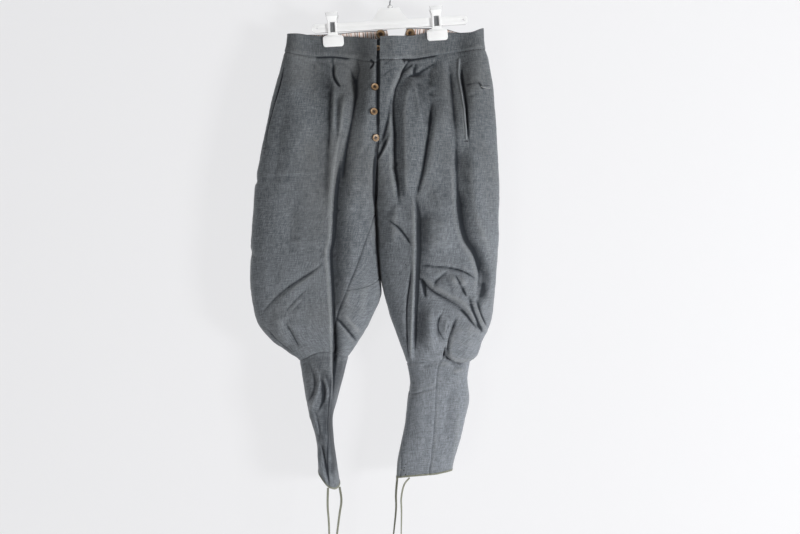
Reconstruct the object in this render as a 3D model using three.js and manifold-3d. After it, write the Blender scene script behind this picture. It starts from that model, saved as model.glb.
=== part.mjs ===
// Puffed trousers hanging from a clip hanger. Millimetres, +Z up, the front faces -Y.
// The origin is the hang point under the arch of the hook; "drop" is the distance below it.
// Sides are the wearer's, so the right leg lies at -X.
import * as THREE from "three";
import Module from "manifold-3d";
import { mergeVertices } from "three/addons/utils/BufferGeometryUtils.js";

// ---- Cloth ----
const CLOTH = 1.4; // wall of the cloth
const FACING = 1.0; // wall of the striped facing and of pocket edges
const SEAM_GAP = 0.5; // between neighbouring pieces, along a ring
const LAID_GAP = 0.3; // between a piece and what lies on it
const LEG_GAP = 0.8; // between the two legs where they touch
const LOOP_POWER = 2.6; // flatness of a ring: 2 is an ellipse
const LOOP_STEPS = 48; // samples of each half ring

// ---- Level lines, as nominal drops; EDGES gives their true drops ----
const BAND_TOP = 112;
const WAIST = 158;
const HIP = 260;
const CROTCH = 468;

// Rings of each leg. inner is the centre front, and below the crotch the inner fold; rear is the
// centre back; front and back are the greatest depths before and behind the hanger's plane.
const RIGHT_RINGS = table("drop outer inner rear front back", [
  [90, -206, -24, -10, 22, 10],
  [112, -206, -24, -6, 23, 11],
  [150, -209, -24, 6, 28, 14],
  [180, -217, -24, 13.5, 33, 18],
  [240, -233, -24, 8, 42, 24],
  [330, -251, -24, -6, 49, 28],
  [420, -270, -26, -20, 52, 30],
  [468, -273, -28, -28, 53, 31],
  [540, -277.5, -24.5, -24.5, 54, 33],
  [595, -279, -20, -20, 56, 35],
  [625, -277, -16, -16, 56, 37],
  [645, -274, -20, -20, 56, 38],
  [680, -266, -36, -36, 55, 38],
  [718, -236, -57, -57, 50, 38],
  [740, -203, -71, -71, 47, 38],
  [757, -179, -82, -82, 44, 40],
  [800, -172, -94, -94, 52, 50],
  [844, -166, -106, -106, 56, 56],
  [884, -158, -116, -116, 57, 57],
  [924, -148, -112, -112, 54, 54],
  [964, -143, -106, -106, 50, 50],
  [1020, -142, -97, -97, 46, 46],
]);
const LEFT_RINGS = table("drop outer inner rear front back", [
  [90, 187, -20, 38, 22, 10],
  [112, 188, -21, 33, 23, 11],
  [150, 190, -22, 21, 28, 14],
  [180, 197, -23, 14.5, 34, 18],
  [240, 207.5, -24, 8, 42, 24],
  [330, 214, -24, -6, 48, 28],
  [420, 218, -26, -20, 50, 30],
  [468, 217, -28, -28, 51, 31],
  [540, 216, -24.5, -24.5, 52, 33],
  [590, 213, -20, -20, 53, 34],
  [625, 210, -14, -14, 54, 35],
  [645, 208, -8, -8, 54, 36],
  [685, 202, 4, 4, 54, 37],
  [725, 184, 18, 18, 50, 36],
  [748, 171, 27, 27, 44, 35],
  [766, 161, 33, 33, 36, 33],
  [805, 154, 40, 40, 33, 32],
  [845, 158, 34, 34, 28, 28],
  [885, 150, 30, 30, 26, 26],
  [925, 142, 22, 22, 23, 23],
  [965, 129, 14, 14, 20, 20],
  [1010, 121, 11, 11, 18, 18],
]);

// Depth of the centre front and centre back lines: they meet at the crotch.
const CENTRE = table("drop front back", [
  [90, 22, 10],
  [112, 23, 11],
  [180, 32, 17],
  [260, 39, 22],
  [340, 35, 20],
  [400, 23, 14],
  [440, 10, 7],
  [468, 0, 0],
]);

// True drops of each leg's level lines, across from the inner side (0) to the outer side (1).
const RIGHT_EDGES = table("across top waist calf knee hem backTop backWaist backCalf backHem", [
  [0, 128, 174, 757, 824, 1013, 102, 165, 757, 1013],
  [0.15, 122, 168, 755, 824, 1015, 104, 165, 760, 1013],
  [0.3, 118, 161, 746, 824, 1013, 107, 162, 764, 1010],
  [0.5, 117, 157, 744, 824, 1009, 111, 158, 768, 1004],
  [0.7, 116, 158, 749, 824, 999, 113, 156, 768, 998],
  [0.85, 114, 156, 757, 824, 991, 113, 152, 766, 991],
  [1, 113, 149, 764, 824, 984, 113, 149, 764, 984],
]);
const LEFT_EDGES = table("across top waist calf knee hem backTop backWaist backCalf backHem", [
  [0, 121, 168, 768, 832, 999, 100, 160, 768, 999],
  [0.15, 120, 167, 766, 826, 996, 100, 158, 770, 998],
  [0.3, 117, 163, 765, 820, 994, 100, 156, 772, 996],
  [0.5, 109, 156, 763, 816, 992, 102, 153, 772, 993],
  [0.7, 110, 150, 765, 816, 990, 109, 150, 770, 990],
  [0.85, 111, 147, 772, 816, 987, 108, 147, 768, 987],
  [1, 101, 144, 766, 816, 984, 101, 144, 766, 984],
]);

// Seams that show on the front, as x at a drop.
const RIGHT_INSEAM = table("drop x", [
  [468, -28],
  [510, -44],
  [558, -60],
  [634, -86],
  [690, -103],
  [757, -112],
  [844, -119],
  [924, -122],
  [1020, -119],
]);
const LEFT_SIDE_SEAM = table("drop x", [
  [610, 205],
  [640, 168],
  [668, 132],
  [700, 119],
  [734, 114],
  [757, 106],
  [780, 94],
  [912, 86],
  [1010, 75],
]);

// The side seams run up the outer fold: the right one turns behind the calf by a share of the ring,
// and the left one turns to the front from leftStart.
const SIDE_TURN = { right: 0.3, rightEnd: 860, leftStart: 560, leftEnd: 610 };

// The crotch gusset of the right leg: its back edge and its lower seam, as ring places.
const GUSSET = table("drop place", [
  [468, 2],
  [555, 1.9],
  [592, 2],
  [634, 2.24],
]);
const GUSSET_END = 629;
const GUSSET_INSET = 4; // from the gusset's nominal ends to its first and last rows
const GUSSET_COLUMNS = 4;
const GUSSET_ROWS = [482, 619]; // rows that the right thigh needs for it

// The left inseam's ring place: it turns to the front over the shin.
const LEFT_INSEAM = table("drop place", [
  [468, 0],
  [558, -0.05],
  [850, -0.05],
  [960, 0.12],
]);

// Largest folds, each a curve through three places at (x, drop). rise is out of the cloth, and
// left and right are how far the fold reaches to either side of the curve's own direction.
const FRONT_FOLDS = table("x0 drop0 x1 drop1 x2 drop2 rise left right", [
  [-72, 176, -72, 290, -98, 414, -9, 20, 14],
  [-104, 330, -116, 480, -116, 700, 12, 16, 22],
  [-126, 578, -180, 612, -246, 676, -7, 16, 16],
  [26, 198, -6, 270, 12, 440, -8, 16, 14],
  [80, 268, 68, 350, 50, 440, -8, 16, 14],
  [44, 444, 52, 580, 44, 720, 12, 18, 14],
  [148, 364, 158, 480, 160, 580, -9, 18, 16],
  [70, 610, 110, 636, 180, 706, -11, 14, 16],
  [78, 560, 126, 574, 172, 600, 9, 16, 16],
]);
const BACK_FOLDS = table("x0 drop0 x1 drop1 x2 drop2 rise left right", [
  [-92, 176, -100, 300, -86, 430, -8, 18, 16],
  [-150, 330, -156, 470, -140, 640, 11, 22, 18],
  [84, 180, 94, 290, 80, 420, -8, 18, 16],
  [118, 350, 112, 500, 96, 690, 11, 18, 22],
  [-150, 600, -200, 640, -240, 690, -7, 16, 16],
  [120, 620, 160, 660, 190, 700, -7, 16, 16],
]);
const FOLD_STEPS = 12;

// ---- Panels ----
const PANEL_COLUMNS = { front_right: 12, back_right: 16, front_left: 11, back_left: 14 };
const THIGH_STEP = 27; // between rows of a thigh panel
const CALF_STEP = 28; // between rows of a calf piece
const FLY_END = 300; // the fly is open down to here
const FLY_OPEN = 3.4; // width of the opening
const STAND_REACH = 9; // the button stand's reach behind each front
const STAND_GAP = 1.4; // between the stand and the fronts' inner faces
const STAND_DIP = 1.8; // further back behind the waistband, for its button

// ---- Buttons ----
const FLY_BUTTON = { radius: 7.5, thick: 2.6 };
const BRACE_BUTTON = { radius: 9, thick: 3.2 };
const FLY_BUTTONS = table("x drop", [
  [-31.5, 224],
  [-33, 273],
  [-30.5, 324],
]);
const WAIST_BUTTON = { radius: 5.5, thick: 1.2, x: -23.5, level: 128 };
const BRACE_BUTTONS = table("x level", [
  [-19, 118],
  [42, 120],
]);
const BUTTON_SEAT = 0.5; // from the cloth to a button's back
const SEAT = { aside: 0.025, down: 6 }; // half the patch that a button lies on, as place and drop
// A button's section: shares of its radius and its thickness, from the back round to the dish.
const BUTTON_PROFILE = table("radius high", [
  [0, 0],
  [0.82, 0],
  [1, 0.4],
  [1, 0.75],
  [0.86, 1],
  [0.62, 0.62],
  [0, 0.62],
]);

// ---- Pocket edges and hem tape ----
const RIGHT_POCKET = table("x drop", [
  [-211, 174],
  [-217, 212],
  [-228, 254],
  [-240, 298],
  [-245, 340],
]);
const LEFT_POCKET = table("x drop", [
  [138, 168],
  [136, 194],
  [140, 228],
  [145, 262],
  [147, 296],
  [149, 326],
]);
const POCKET_EDGE = { wide: 5, off: 1.05 };
const HEM_TAPE = { high: 7, wall: 1.0, off: 0.5 };

// ---- Ties: flat tape, each a run of places hanging from the hem's slit ----
const TIE = { wide: 4.4, thick: 1.3, sides: 8 };
const TIES = {
  tie_right_outer: [[-120.8, -48.0, 1009.9], [-121.5, -48.5, 1044], [-119, -49, 1080], [-118, -49, 1128]],
  tie_right_inner: [[-99.8, -20, 1013.6], [-96, -22, 1040], [-100, -24, 1070], [-106, -25, 1118]],
  tie_left_inner: [[14.5, -6.6, 998.8], [12, -9, 1030], [12, -10, 1062], [6, -11, 1120]],
  tie_left_outer: [[39, -18.3, 995.8], [28, -20, 1010], [22.5, -21, 1036], [23, -22, 1064], [22, -22, 1132]],
};

// ---- Hanger ----
const TILT = THREE.MathUtils.degToRad(3.4); // the bar's right end is the higher
const BAR = { half: 156, high: 17, deep: 8, drop: 93.5, hole: 2.4, inset: 10 };
const HUB = { base: 37, top: 22, rise: 24, round: 4 };
const COLLAR = { radius: 5, high: 5 };
const COLLAR_PROFILE = table("radius high", [
  [0, 0],
  [1, 0],
  [1, 0.7],
  [0.8, 1],
  [0, 1],
]);
const LATHE_STEPS = 20;
const WIRE = { radius: 1.6, hook: 19, segments: 5 };
// The wire from the collar to the start of the arch, and the arch itself in degrees.
const HOOK_FOOT = table("x up", [
  [0, 0],
  [0, 6],
  [2, 11],
  [12, 19],
]);
const HOOK_TURN = { step: 20, end: 200 };
const JAW_DEPTH = { front: 2.4, back: 3.8 }; // cloth surfaces between the jaws
const LEVER = { thick: 3, window: { wide: 9.5, low: 17, high: 37 }, cutter: 60 };
const CLIPS = { right: { x: -113, drop: 127 }, left: { x: 94.5, drop: 114.5 } };
// Front lever from its jaw up to its handle: height over the jaw's centre, half width, and how far
// its inner face stands off the jaw's.
const LEVER_ROWS = table("up half off", [
  [-11.5, 17, 0],
  [-9, 20, 0],
  [-5, 21, 0],
  [6, 21, 0.2],
  [9.5, 19.5, 0.8],
  [12, 11, 1.6],
  [15, 9.6, 2.6],
  [40, 9.6, 3.4],
  [48, 11.5, 7],
  [55.5, 13, 12],
]);
const SPRING = { reach: 5, low: 18, high: 36.5, thick: 0.65, play: 0.4 };
const PINCH = { flat: 36, reach: 88, flatDrop: 145, endDrop: 310 };

// ---- Colours ----
const COLOURS = {
  cloth: ["#62676c", 0.95, 0],
  facing: ["#dccbc4", 0.95, 0],
  tape: ["#84887b", 0.9, 0],
  button: ["#8a5a33", 0.5, 0],
  plastic: ["#f1f1f0", 0.35, 0],
  steel: ["#9a9c9e", 0.3, 1],
};
const MATERIALS = Object.fromEntries(
  Object.entries(COLOURS).map(([name, [color, roughness, metalness]]) => [
    name,
    new THREE.MeshStandardMaterial({ color, roughness, metalness }),
  ]),
);

// ---- Tables ----
function table(names, rows) {
  const columns = names.split(" ");
  return rows.map((row) => Object.fromEntries(columns.map((name, i) => [name, row[i]])));
}

// Value of a column at a key, along a smooth curve through the rows that never overshoots them.
function at(rows, column, key, keyColumn = "drop") {
  const last = rows.length - 1;
  if (key <= rows[0][keyColumn]) return rows[0][column];
  if (key >= rows[last][keyColumn]) return rows[last][column];
  let i = 0;
  while (rows[i + 1][keyColumn] < key) i += 1;
  const slope = (k) =>
    (rows[k + 1][column] - rows[k][column]) / (rows[k + 1][keyColumn] - rows[k][keyColumn]);
  const tangent = (k) => {
    if (k === 0) return slope(0);
    if (k === last) return slope(last - 1);
    const [before, after] = [slope(k - 1), slope(k)];
    return before * after <= 0 ? 0 : (2 * before * after) / (before + after);
  };
  const span = rows[i + 1][keyColumn] - rows[i][keyColumn];
  const t = (key - rows[i][keyColumn]) / span;
  const [a, b] = [rows[i][column], rows[i + 1][column]];
  const [p, q] = [tangent(i) * span, tangent(i + 1) * span];
  return a + t * (p + t * (3 * (b - a) - 2 * p - q + t * (2 * (a - b) + p + q)));
}

const lerp = THREE.MathUtils.lerp;
const ease = THREE.MathUtils.smoothstep;

// ---- Rings ----
const LEGS = {
  right: { side: -1, rings: RIGHT_RINGS, edges: RIGHT_EDGES, calf: 757, knee: 824, hem: 1004 },
  left: { side: 1, rings: LEFT_RINGS, edges: LEFT_EDGES, calf: 766, knee: 824, hem: 993 },
};

// How firmly the clips press the cloth together here, 0 to 1.
function pinch(x, drop) {
  const along = 1 - ease(drop, PINCH.flatDrop, PINCH.endDrop);
  const near = Object.values(CLIPS).map((clip) => {
    return 1 - ease(Math.abs(x - clip.x), PINCH.flat, PINCH.reach);
  });
  return Math.max(...near) * along;
}

// One half of a ring, from the inner end to the outer, as places with their share of its length.
function halfRing(leg, drop, face) {
  const outer = at(leg.rings, "outer", drop);
  const gap = (drop < CROTCH ? SEAM_GAP : LEG_GAP) / 2;
  const inner = at(leg.rings, face === "front" ? "inner" : "rear", drop) + leg.side * gap;
  const depth = at(leg.rings, face, drop);
  const centre = at(CENTRE, face, drop);
  const held = face === "front" ? JAW_DEPTH.front : JAW_DEPTH.back;
  const places = [];
  let length = 0;
  for (let k = 0; k <= LOOP_STEPS; k += 1) {
    const w = -Math.cos((Math.PI * k) / LOOP_STEPS);
    const across = (1 + w) / 2;
    const x = lerp(inner, outer, across);
    const bulge = Math.pow(Math.max(0, 1 - Math.abs(w) ** LOOP_POWER), 1 / LOOP_POWER);
    const open = w < 0 ? centre + (depth - centre) * bulge : depth * bulge;
    const off = lerp(open, Math.min(open, held), pinch(x, drop));
    const y = face === "front" ? -off : off;
    if (k > 0) length += Math.hypot(x - places[k - 1].x, y - places[k - 1].y);
    places.push({ x, y, across, length });
  }
  places.forEach((place) => {
    place.share = place.length / length;
  });
  return { places, length };
}

const ringCache = new Map();
function ring(leg, drop) {
  const key = `${leg.side} ${drop.toFixed(3)}`;
  if (!ringCache.has(key)) {
    ringCache.set(key, { front: halfRing(leg, drop, "front"), back: halfRing(leg, drop, "back") });
  }
  return ringCache.get(key);
}

function placeIn(places, column, value) {
  let k = 0;
  const rising = places[places.length - 1][column] > places[0][column];
  const before = (place) => (rising ? place[column] < value : place[column] > value);
  while (k < places.length - 2 && before(places[k + 1])) k += 1;
  const [a, b] = [places[k], places[k + 1]];
  const t = THREE.MathUtils.clamp((value - a[column]) / (b[column] - a[column]), 0, 1);
  return {
    x: lerp(a.x, b.x, t),
    y: lerp(a.y, b.y, t),
    across: lerp(a.across, b.across, t),
    share: lerp(a.share, b.share, t),
  };
}

// Ring place of a front point at x: 0 is the inner end, 1 the outer, and 1 to 2 runs back behind.
const ringPlaceAt = (leg, drop, x) => placeIn(ring(leg, drop).front.places, "x", x).share;

// True drop at a nominal one: level lines dip and rise as EDGES says, and ease out at the hip.
function trueDrop(leg, across, drop, face) {
  const named = (name) => (face === "front" ? name : `back${name[0].toUpperCase()}${name.slice(1)}`);
  const edge = (name) => at(leg.edges, name, across, "across");
  const lines = [
    [BAND_TOP, edge(named("top"))],
    [WAIST, edge(named("waist"))],
    [HIP, HIP],
    [CROTCH, CROTCH],
    [leg.calf, edge(named("calf"))],
    [leg.knee, face === "front" ? edge("knee") : leg.knee],
    [leg.hem, edge(named("hem"))],
  ];
  let i = 0;
  while (i < lines.length - 2 && lines[i + 1][0] < drop) i += 1;
  const t = (drop - lines[i][0]) / (lines[i + 1][0] - lines[i][0]);
  return lerp(lines[i][1], lines[i + 1][1], t);
}

// ---- Folds ----
function foldCurve(fold) {
  const points = [];
  for (let k = 0; k <= FOLD_STEPS; k += 1) {
    const t = k / FOLD_STEPS;
    const [a, b, c] = [(1 - t) * (1 - 2 * t), 4 * t * (1 - t), t * (2 * t - 1)];
    points.push({
      x: a * fold.x0 + b * fold.x1 + c * fold.x2,
      drop: a * fold.drop0 + b * fold.drop1 + c * fold.drop2,
    });
  }
  return points;
}
const withCurves = (folds) => folds.map((fold) => ({ ...fold, curve: foldCurve(fold) }));
const FOLDS = { front: withCurves(FRONT_FOLDS), back: withCurves(BACK_FOLDS) };

function foldRise(fold, x, drop) {
  let best = { distance: Infinity };
  for (let k = 0; k < FOLD_STEPS; k += 1) {
    const [a, b] = [fold.curve[k], fold.curve[k + 1]];
    const [ex, ed] = [b.x - a.x, b.drop - a.drop];
    const t = THREE.MathUtils.clamp(((x - a.x) * ex + (drop - a.drop) * ed) / (ex * ex + ed * ed), 0, 1);
    const [dx, dd] = [x - a.x - t * ex, drop - a.drop - t * ed];
    const distance = Math.hypot(dx, dd);
    if (distance < best.distance) best = { distance, side: dx * ed - dd * ex, along: (k + t) / FOLD_STEPS };
  }
  const reach = best.side > 0 ? fold.right : fold.left;
  const fade = ease(best.along, -0.02, 0.25) * (1 - ease(best.along, 0.75, 1.02));
  return fold.rise * fade * Math.exp(-((best.distance / reach) ** 2));
}

// ---- The garment's surface: ring place and nominal drop to a point ----
function bareSurface(leg, place, drop) {
  const turned = ((place % 2) + 2) % 2;
  const face = turned <= 1 ? "front" : "back";
  const share = face === "front" ? turned : 2 - turned;
  const found = placeIn(ring(leg, drop)[face].places, "share", share);
  const down = trueDrop(leg, found.across, drop, face);
  return { point: new THREE.Vector3(found.x, found.y, -down), face, across: found.across };
}

function surface(leg, place, drop) {
  const here = bareSurface(leg, place, drop);
  const reach = 0.004;
  const fall = 0.5;
  const acrossStep = bareSurface(leg, place + reach, drop).point
    .sub(bareSurface(leg, place - reach, drop).point);
  const downStep = bareSurface(leg, place, drop + fall).point
    .sub(bareSurface(leg, place, drop - fall).point);
  const normal = acrossStep.cross(downStep).multiplyScalar(-leg.side).normalize();
  const { x, z } = here.point;
  const calm = 1 - pinch(x, -z);
  const ends = ease(Math.min(here.across, 1 - here.across), 0, 0.12);
  const rise = FOLDS[here.face].reduce((sum, fold) => sum + foldRise(fold, x, -z), 0);
  return { point: here.point.addScaledVector(normal, rise * calm * ends), normal };
}

// The open ends at the centre lines have no ring beyond them, so the normal is taken just inside.
function surfaceNear(leg, place, drop) {
  const turned = ((place % 2) + 2) % 2;
  const edge = 0.005;
  if (drop >= CROTCH || (turned > edge && turned < 2 - edge)) return surface(leg, place, drop);
  const inside = turned <= edge ? edge * 1.2 : 2 - edge * 1.2;
  const here = surface(leg, turned, drop);
  return { point: here.point, normal: surface(leg, inside, drop).normal };
}

// ---- Closed solids ----
function meshOf(name, material, geometry) {
  const mesh = new THREE.Mesh(geometry, MATERIALS[material]);
  mesh.name = name;
  return mesh;
}

function geometryOf(points, triangles) {
  const geometry = new THREE.BufferGeometry();
  const values = new Float32Array(points.flatMap((p) => [p.x, p.y, p.z]));
  geometry.setAttribute("position", new THREE.BufferAttribute(values, 3));
  geometry.setIndex(triangles.flat());
  return geometry;
}

// A wall between two like grids of points, outer and inner, each rows by columns.
function wallBetween(outer, inner, flip) {
  const [rows, columns] = [outer.length, outer[0].length];
  const points = [...outer.flat(), ...inner.flat()];
  const id = (layer, r, c) => layer * rows * columns + r * columns + c;
  const triangles = [];
  const quad = (a, b, c, d) => {
    if (flip) triangles.push([a, c, b], [a, d, c]);
    else triangles.push([a, b, c], [a, c, d]);
  };
  for (let r = 0; r + 1 < rows; r += 1) {
    for (let c = 0; c + 1 < columns; c += 1) {
      quad(id(0, r, c), id(0, r + 1, c), id(0, r + 1, c + 1), id(0, r, c + 1));
      quad(id(1, r, c), id(1, r, c + 1), id(1, r + 1, c + 1), id(1, r + 1, c));
    }
  }
  for (let c = 0; c + 1 < columns; c += 1) {
    quad(id(0, 0, c), id(0, 0, c + 1), id(1, 0, c + 1), id(1, 0, c));
    quad(id(0, rows - 1, c), id(1, rows - 1, c), id(1, rows - 1, c + 1), id(0, rows - 1, c + 1));
  }
  for (let r = 0; r + 1 < rows; r += 1) {
    quad(id(0, r, 0), id(1, r, 0), id(1, r + 1, 0), id(0, r + 1, 0));
    quad(id(0, r, columns - 1), id(0, r + 1, columns - 1), id(1, r + 1, columns - 1), id(1, r, columns - 1));
  }
  return geometryOf(points, triangles);
}

// Cells of a piece, row by row: at each drop, points and normals from one ring place to another.
function gridOver(leg, drops, from, to, columns) {
  return drops.map((drop) => {
    const lengths = ring(leg, drop);
    const inset = SEAM_GAP / (lengths.front.length + lengths.back.length);
    const [a, b] = [from(drop) + inset, to(drop) - inset];
    return Array.from({ length: columns + 1 }, (_, c) => {
      const place = lerp(a, b, c / columns);
      return { place, drop, ...surfaceNear(leg, place, drop) };
    });
  });
}

// A wall on a grid of cells: its outer face lies at out, its inner face one wall further in.
function wallOn(leg, grid, out = 0, wall = CLOTH) {
  const moved = (off) => {
    return grid.map((row) => row.map(({ point, normal }) => point.clone().addScaledVector(normal, off)));
  };
  return wallBetween(moved(out), moved(out - wall), leg.side < 0);
}

// The point and normal of a panel's own facets at a ring place and drop.
function onFacets(grid, place, drop) {
  let r = 0;
  while (r < grid.length - 2 && grid[r + 1][0].drop < drop) r += 1;
  const t = (drop - grid[r][0].drop) / (grid[r + 1][0].drop - grid[r][0].drop);
  const [upper, lower] = [grid[r], grid[r + 1]];
  const placeOf = (c) => lerp(upper[c].place, lower[c].place, t);
  let c = 0;
  while (c < upper.length - 2 && placeOf(c + 1) < place) c += 1;
  const s = (place - placeOf(c)) / (placeOf(c + 1) - placeOf(c));
  const blend = (key) => {
    const [a, b, corner, d] = [upper[c][key], lower[c][key], lower[c + 1][key], upper[c + 1][key]];
    const value = a.clone();
    if (t > s) return value.addScaledVector(b.clone().sub(a), t).addScaledVector(corner.clone().sub(b), s);
    return value.addScaledVector(d.clone().sub(a), s).addScaledVector(corner.clone().sub(d), t);
  };
  return { place, drop, point: blend("point"), normal: blend("normal").normalize() };
}

// The plane that a small flat thing takes on a panel's facets.
function seatOn(grid, place, drop) {
  const { aside, down } = SEAT;
  const pointAt = (p, d) => onFacets(grid, p, d).point;
  const across = pointAt(place + aside, drop).sub(pointAt(place - aside, drop));
  const fall = pointAt(place, drop + down).sub(pointAt(place, drop - down));
  const { point, normal } = onFacets(grid, place, drop);
  const flat = across.cross(fall).normalize();
  return { point, normal: flat.multiplyScalar(Math.sign(flat.dot(normal))) };
}

// The rows of a strip laid on a panel: the panel's own rows between two drops, and the ends.
function stripRows(grid, start, end) {
  const own = grid.map((row) => row[0].drop).filter((drop) => drop > start + 4 && drop < end - 4);
  return [start, ...own, end];
}

// Even rows from one drop to another, each end drawn in by half the seam gap.
function rowsBetween(start, end, step) {
  const count = Math.max(1, Math.round((end - start) / step));
  const [a, b] = [start + SEAM_GAP / 2, end - SEAM_GAP / 2];
  return Array.from({ length: count + 1 }, (_, i) => lerp(a, b, i / count));
}

const BAND_ROWS = rowsBetween(BAND_TOP, WAIST, 23);
const thighRows = (leg) => {
  const rows = rowsBetween(WAIST, leg.calf, THIGH_STEP);
  return leg.side < 0 ? [...rows, ...GUSSET_ROWS].sort((a, b) => a - b) : rows;
};
const calfRows = (leg) => {
  const upper = rowsBetween(leg.calf, leg.knee, CALF_STEP);
  return [...upper, ...rowsBetween(leg.knee, leg.hem, CALF_STEP)];
};

// ---- The trousers' pieces ----
const rightInseam = (drop) => {
  return drop <= CROTCH ? 0 : ringPlaceAt(LEGS.right, drop, at(RIGHT_INSEAM, "x", drop));
};
const leftInseam = (drop) => at(LEFT_INSEAM, "place", drop);
const rightSide = (drop) => 1 + SIDE_TURN.right * ease(drop, LEGS.right.calf, SIDE_TURN.rightEnd);
const leftSide = (drop) => {
  const { leftStart, leftEnd } = SIDE_TURN;
  if (drop <= leftStart) return 1;
  const level = Math.max(drop, leftEnd);
  const onFront = ringPlaceAt(LEGS.left, level, at(LEFT_SIDE_SEAM, "x", level));
  return lerp(1, onFront, Math.min(1, (drop - leftStart) / (leftEnd - leftStart)));
};
const gussetEdge = (drop) => {
  if (drop >= GUSSET_END) return 2 + rightInseam(drop);
  return Math.min(at(GUSSET, "place", drop), 2 + rightInseam(drop));
};
const flyEdge = (leg) => (drop) => (drop > FLY_END ? 0 : FLY_OPEN / 2 / ring(leg, drop).front.length);

// Every panel's grid, by name. Neighbours share their rows, and above and below their columns.
function panelGrids() {
  const { right, left } = LEGS;
  const fly = { right: flyEdge(right), left: flyEdge(left) };
  const fronts = {
    right: [(d) => fly.right(d) + rightInseam(d), rightSide],
    left: [(d) => fly.left(d) + leftInseam(d), leftSide],
  };
  const backs = {
    right: [rightSide, gussetEdge],
    left: [leftSide, (d) => 2 + leftInseam(d)],
  };
  const grids = {};
  for (const [side, leg] of Object.entries(LEGS)) {
    const [front, back] = [PANEL_COLUMNS[`front_${side}`], PANEL_COLUMNS[`back_${side}`]];
    const cut = (drops, edges, count) => gridOver(leg, drops, ...edges, count);
    grids[`waistband_front_${side}`] = cut(BAND_ROWS, fronts[side], front);
    grids[`waistband_back_${side}`] = cut(BAND_ROWS, backs[side], back);
    grids[`front_${side}`] = cut(thighRows(leg), fronts[side], front);
    grids[`back_${side}`] = cut(thighRows(leg), backs[side], back);
    grids[`calf_${side}_front`] = cut(calfRows(leg), fronts[side], front);
    grids[`calf_${side}_back`] = cut(calfRows(leg), backs[side], back);
  }
  grids.crotch_gusset = gussetGrid();
  return grids;
}

// The piece set in below the crotch shows on the front between the inner fold and the inseam.
function gussetGrid() {
  const inside = (drop) => drop > CROTCH + GUSSET_INSET && drop < GUSSET_END - GUSSET_INSET;
  const end = (drop) => 2 + rightInseam(drop);
  return gridOver(LEGS.right, thighRows(LEGS.right).filter(inside), gussetEdge, end, GUSSET_COLUMNS);
}

function addTrousers(group) {
  const add = (name, material, geometry) => group.add(meshOf(name, material, geometry));
  const grids = panelGrids();
  const knee = grids.calf_left_front.filter((row) => row[0].drop < LEGS.left.knee);
  const shin = grids.calf_left_front.filter((row) => row[0].drop > LEGS.left.knee);
  for (const [name, grid] of Object.entries({ ...grids, knee_left_front: knee, calf_left_front: shin })) {
    const leg = name.includes("left") ? LEGS.left : LEGS.right;
    add(name, "cloth", wallOn(leg, grid));
  }
  for (const [side, leg] of Object.entries(LEGS)) {
    addFacing(add, side, leg, grids[`waistband_back_${side}`]);
    addHemTape(add, side, leg, [grids[`calf_${side}_front`], grids[`calf_${side}_back`]]);
  }
  addFlyStand(add, grids);
  addPocketEdge(add, "right", grids.front_right, RIGHT_POCKET);
  addPocketEdge(add, "left", grids.front_left, LEFT_POCKET);
  return grids;
}

// The facing inside the back waistband runs from near the side seam to the centre back.
function addFacing(add, side, leg, grid) {
  const [first, last] = [grid[0][0].drop + 2, grid[grid.length - 1][0].drop - 2];
  const rows = stripRows(grid, first, last).map((drop) => {
    return grid[0].slice(1).map(({ place }) => onFacets(grid, place, drop));
  });
  add(`facing_back_${side}`, "facing", wallOn(leg, rows, -CLOTH - LAID_GAP, FACING));
}

// Hem tape round the outside of each hem, open at the inseam's slit.
function addHemTape(add, side, leg, panels) {
  const drops = [leg.hem - HEM_TAPE.high, leg.hem - SEAM_GAP];
  const rows = drops.map((drop) => {
    return panels.flatMap((grid) => grid[grid.length - 1].map(({ place }) => onFacets(grid, place, drop)));
  });
  const out = HEM_TAPE.off + HEM_TAPE.wall;
  add(`hem_tape_${side}`, "tape", wallOn(leg, rows, out, HEM_TAPE.wall));
}

// The button stand backs the fly's opening: a strip behind the first column of both fronts.
function addFlyStand(add, grids) {
  const stand = (side, drop) => {
    const grid = drop < WAIST ? grids[`waistband_front_${side}`] : grids[`front_${side}`];
    const edge = grid[0][0].place;
    const reach = STAND_REACH / ring(LEGS[side], drop).front.length;
    const dip = drop < WAIST ? STAND_DIP : 0;
    return [edge, edge + reach].map((place) => {
      const cell = onFacets(grid, place, drop);
      return { ...cell, point: cell.point.addScaledVector(cell.normal, -dip) };
    });
  };
  const drops = [...BAND_ROWS, ...thighRows(LEGS.right).filter((drop) => drop < FLY_END + 12)];
  const rows = drops.filter((_, i) => i > 0 && i !== BAND_ROWS.length).map((drop) => {
    return [...stand("right", drop).reverse(), ...stand("left", drop)];
  });
  add("fly_stand", "cloth", wallOn(LEGS.left, rows, -CLOTH - STAND_GAP));
}

function addPocketEdge(add, side, grid, path) {
  const leg = LEGS[side];
  const rows = stripRows(grid, path[0].drop, path[path.length - 1].drop).map((drop) => {
    const middle = ringPlaceAt(leg, drop, at(path, "x", drop));
    const half = POCKET_EDGE.wide / 2 / ring(leg, drop).front.length;
    return [middle - half, middle + half].map((place) => onFacets(grid, place, drop));
  });
  const out = POCKET_EDGE.off + FACING;
  add(`pocket_edge_${side}`, "cloth", wallOn(leg, rows, out, FACING));
}

// ---- Buttons ----
function buttonGeometry({ radius, thick }) {
  const profile = BUTTON_PROFILE.map((row) => new THREE.Vector2(row.radius * radius, row.high * thick));
  return closedLathe(profile, LATHE_STEPS);
}

function closedLathe(profile, steps) {
  const geometry = new THREE.LatheGeometry(profile, steps).rotateX(Math.PI / 2);
  geometry.deleteAttribute("normal");
  geometry.deleteAttribute("uv");
  return dropFlatTriangles(mergeVertices(geometry, 1e-3));
}

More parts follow.
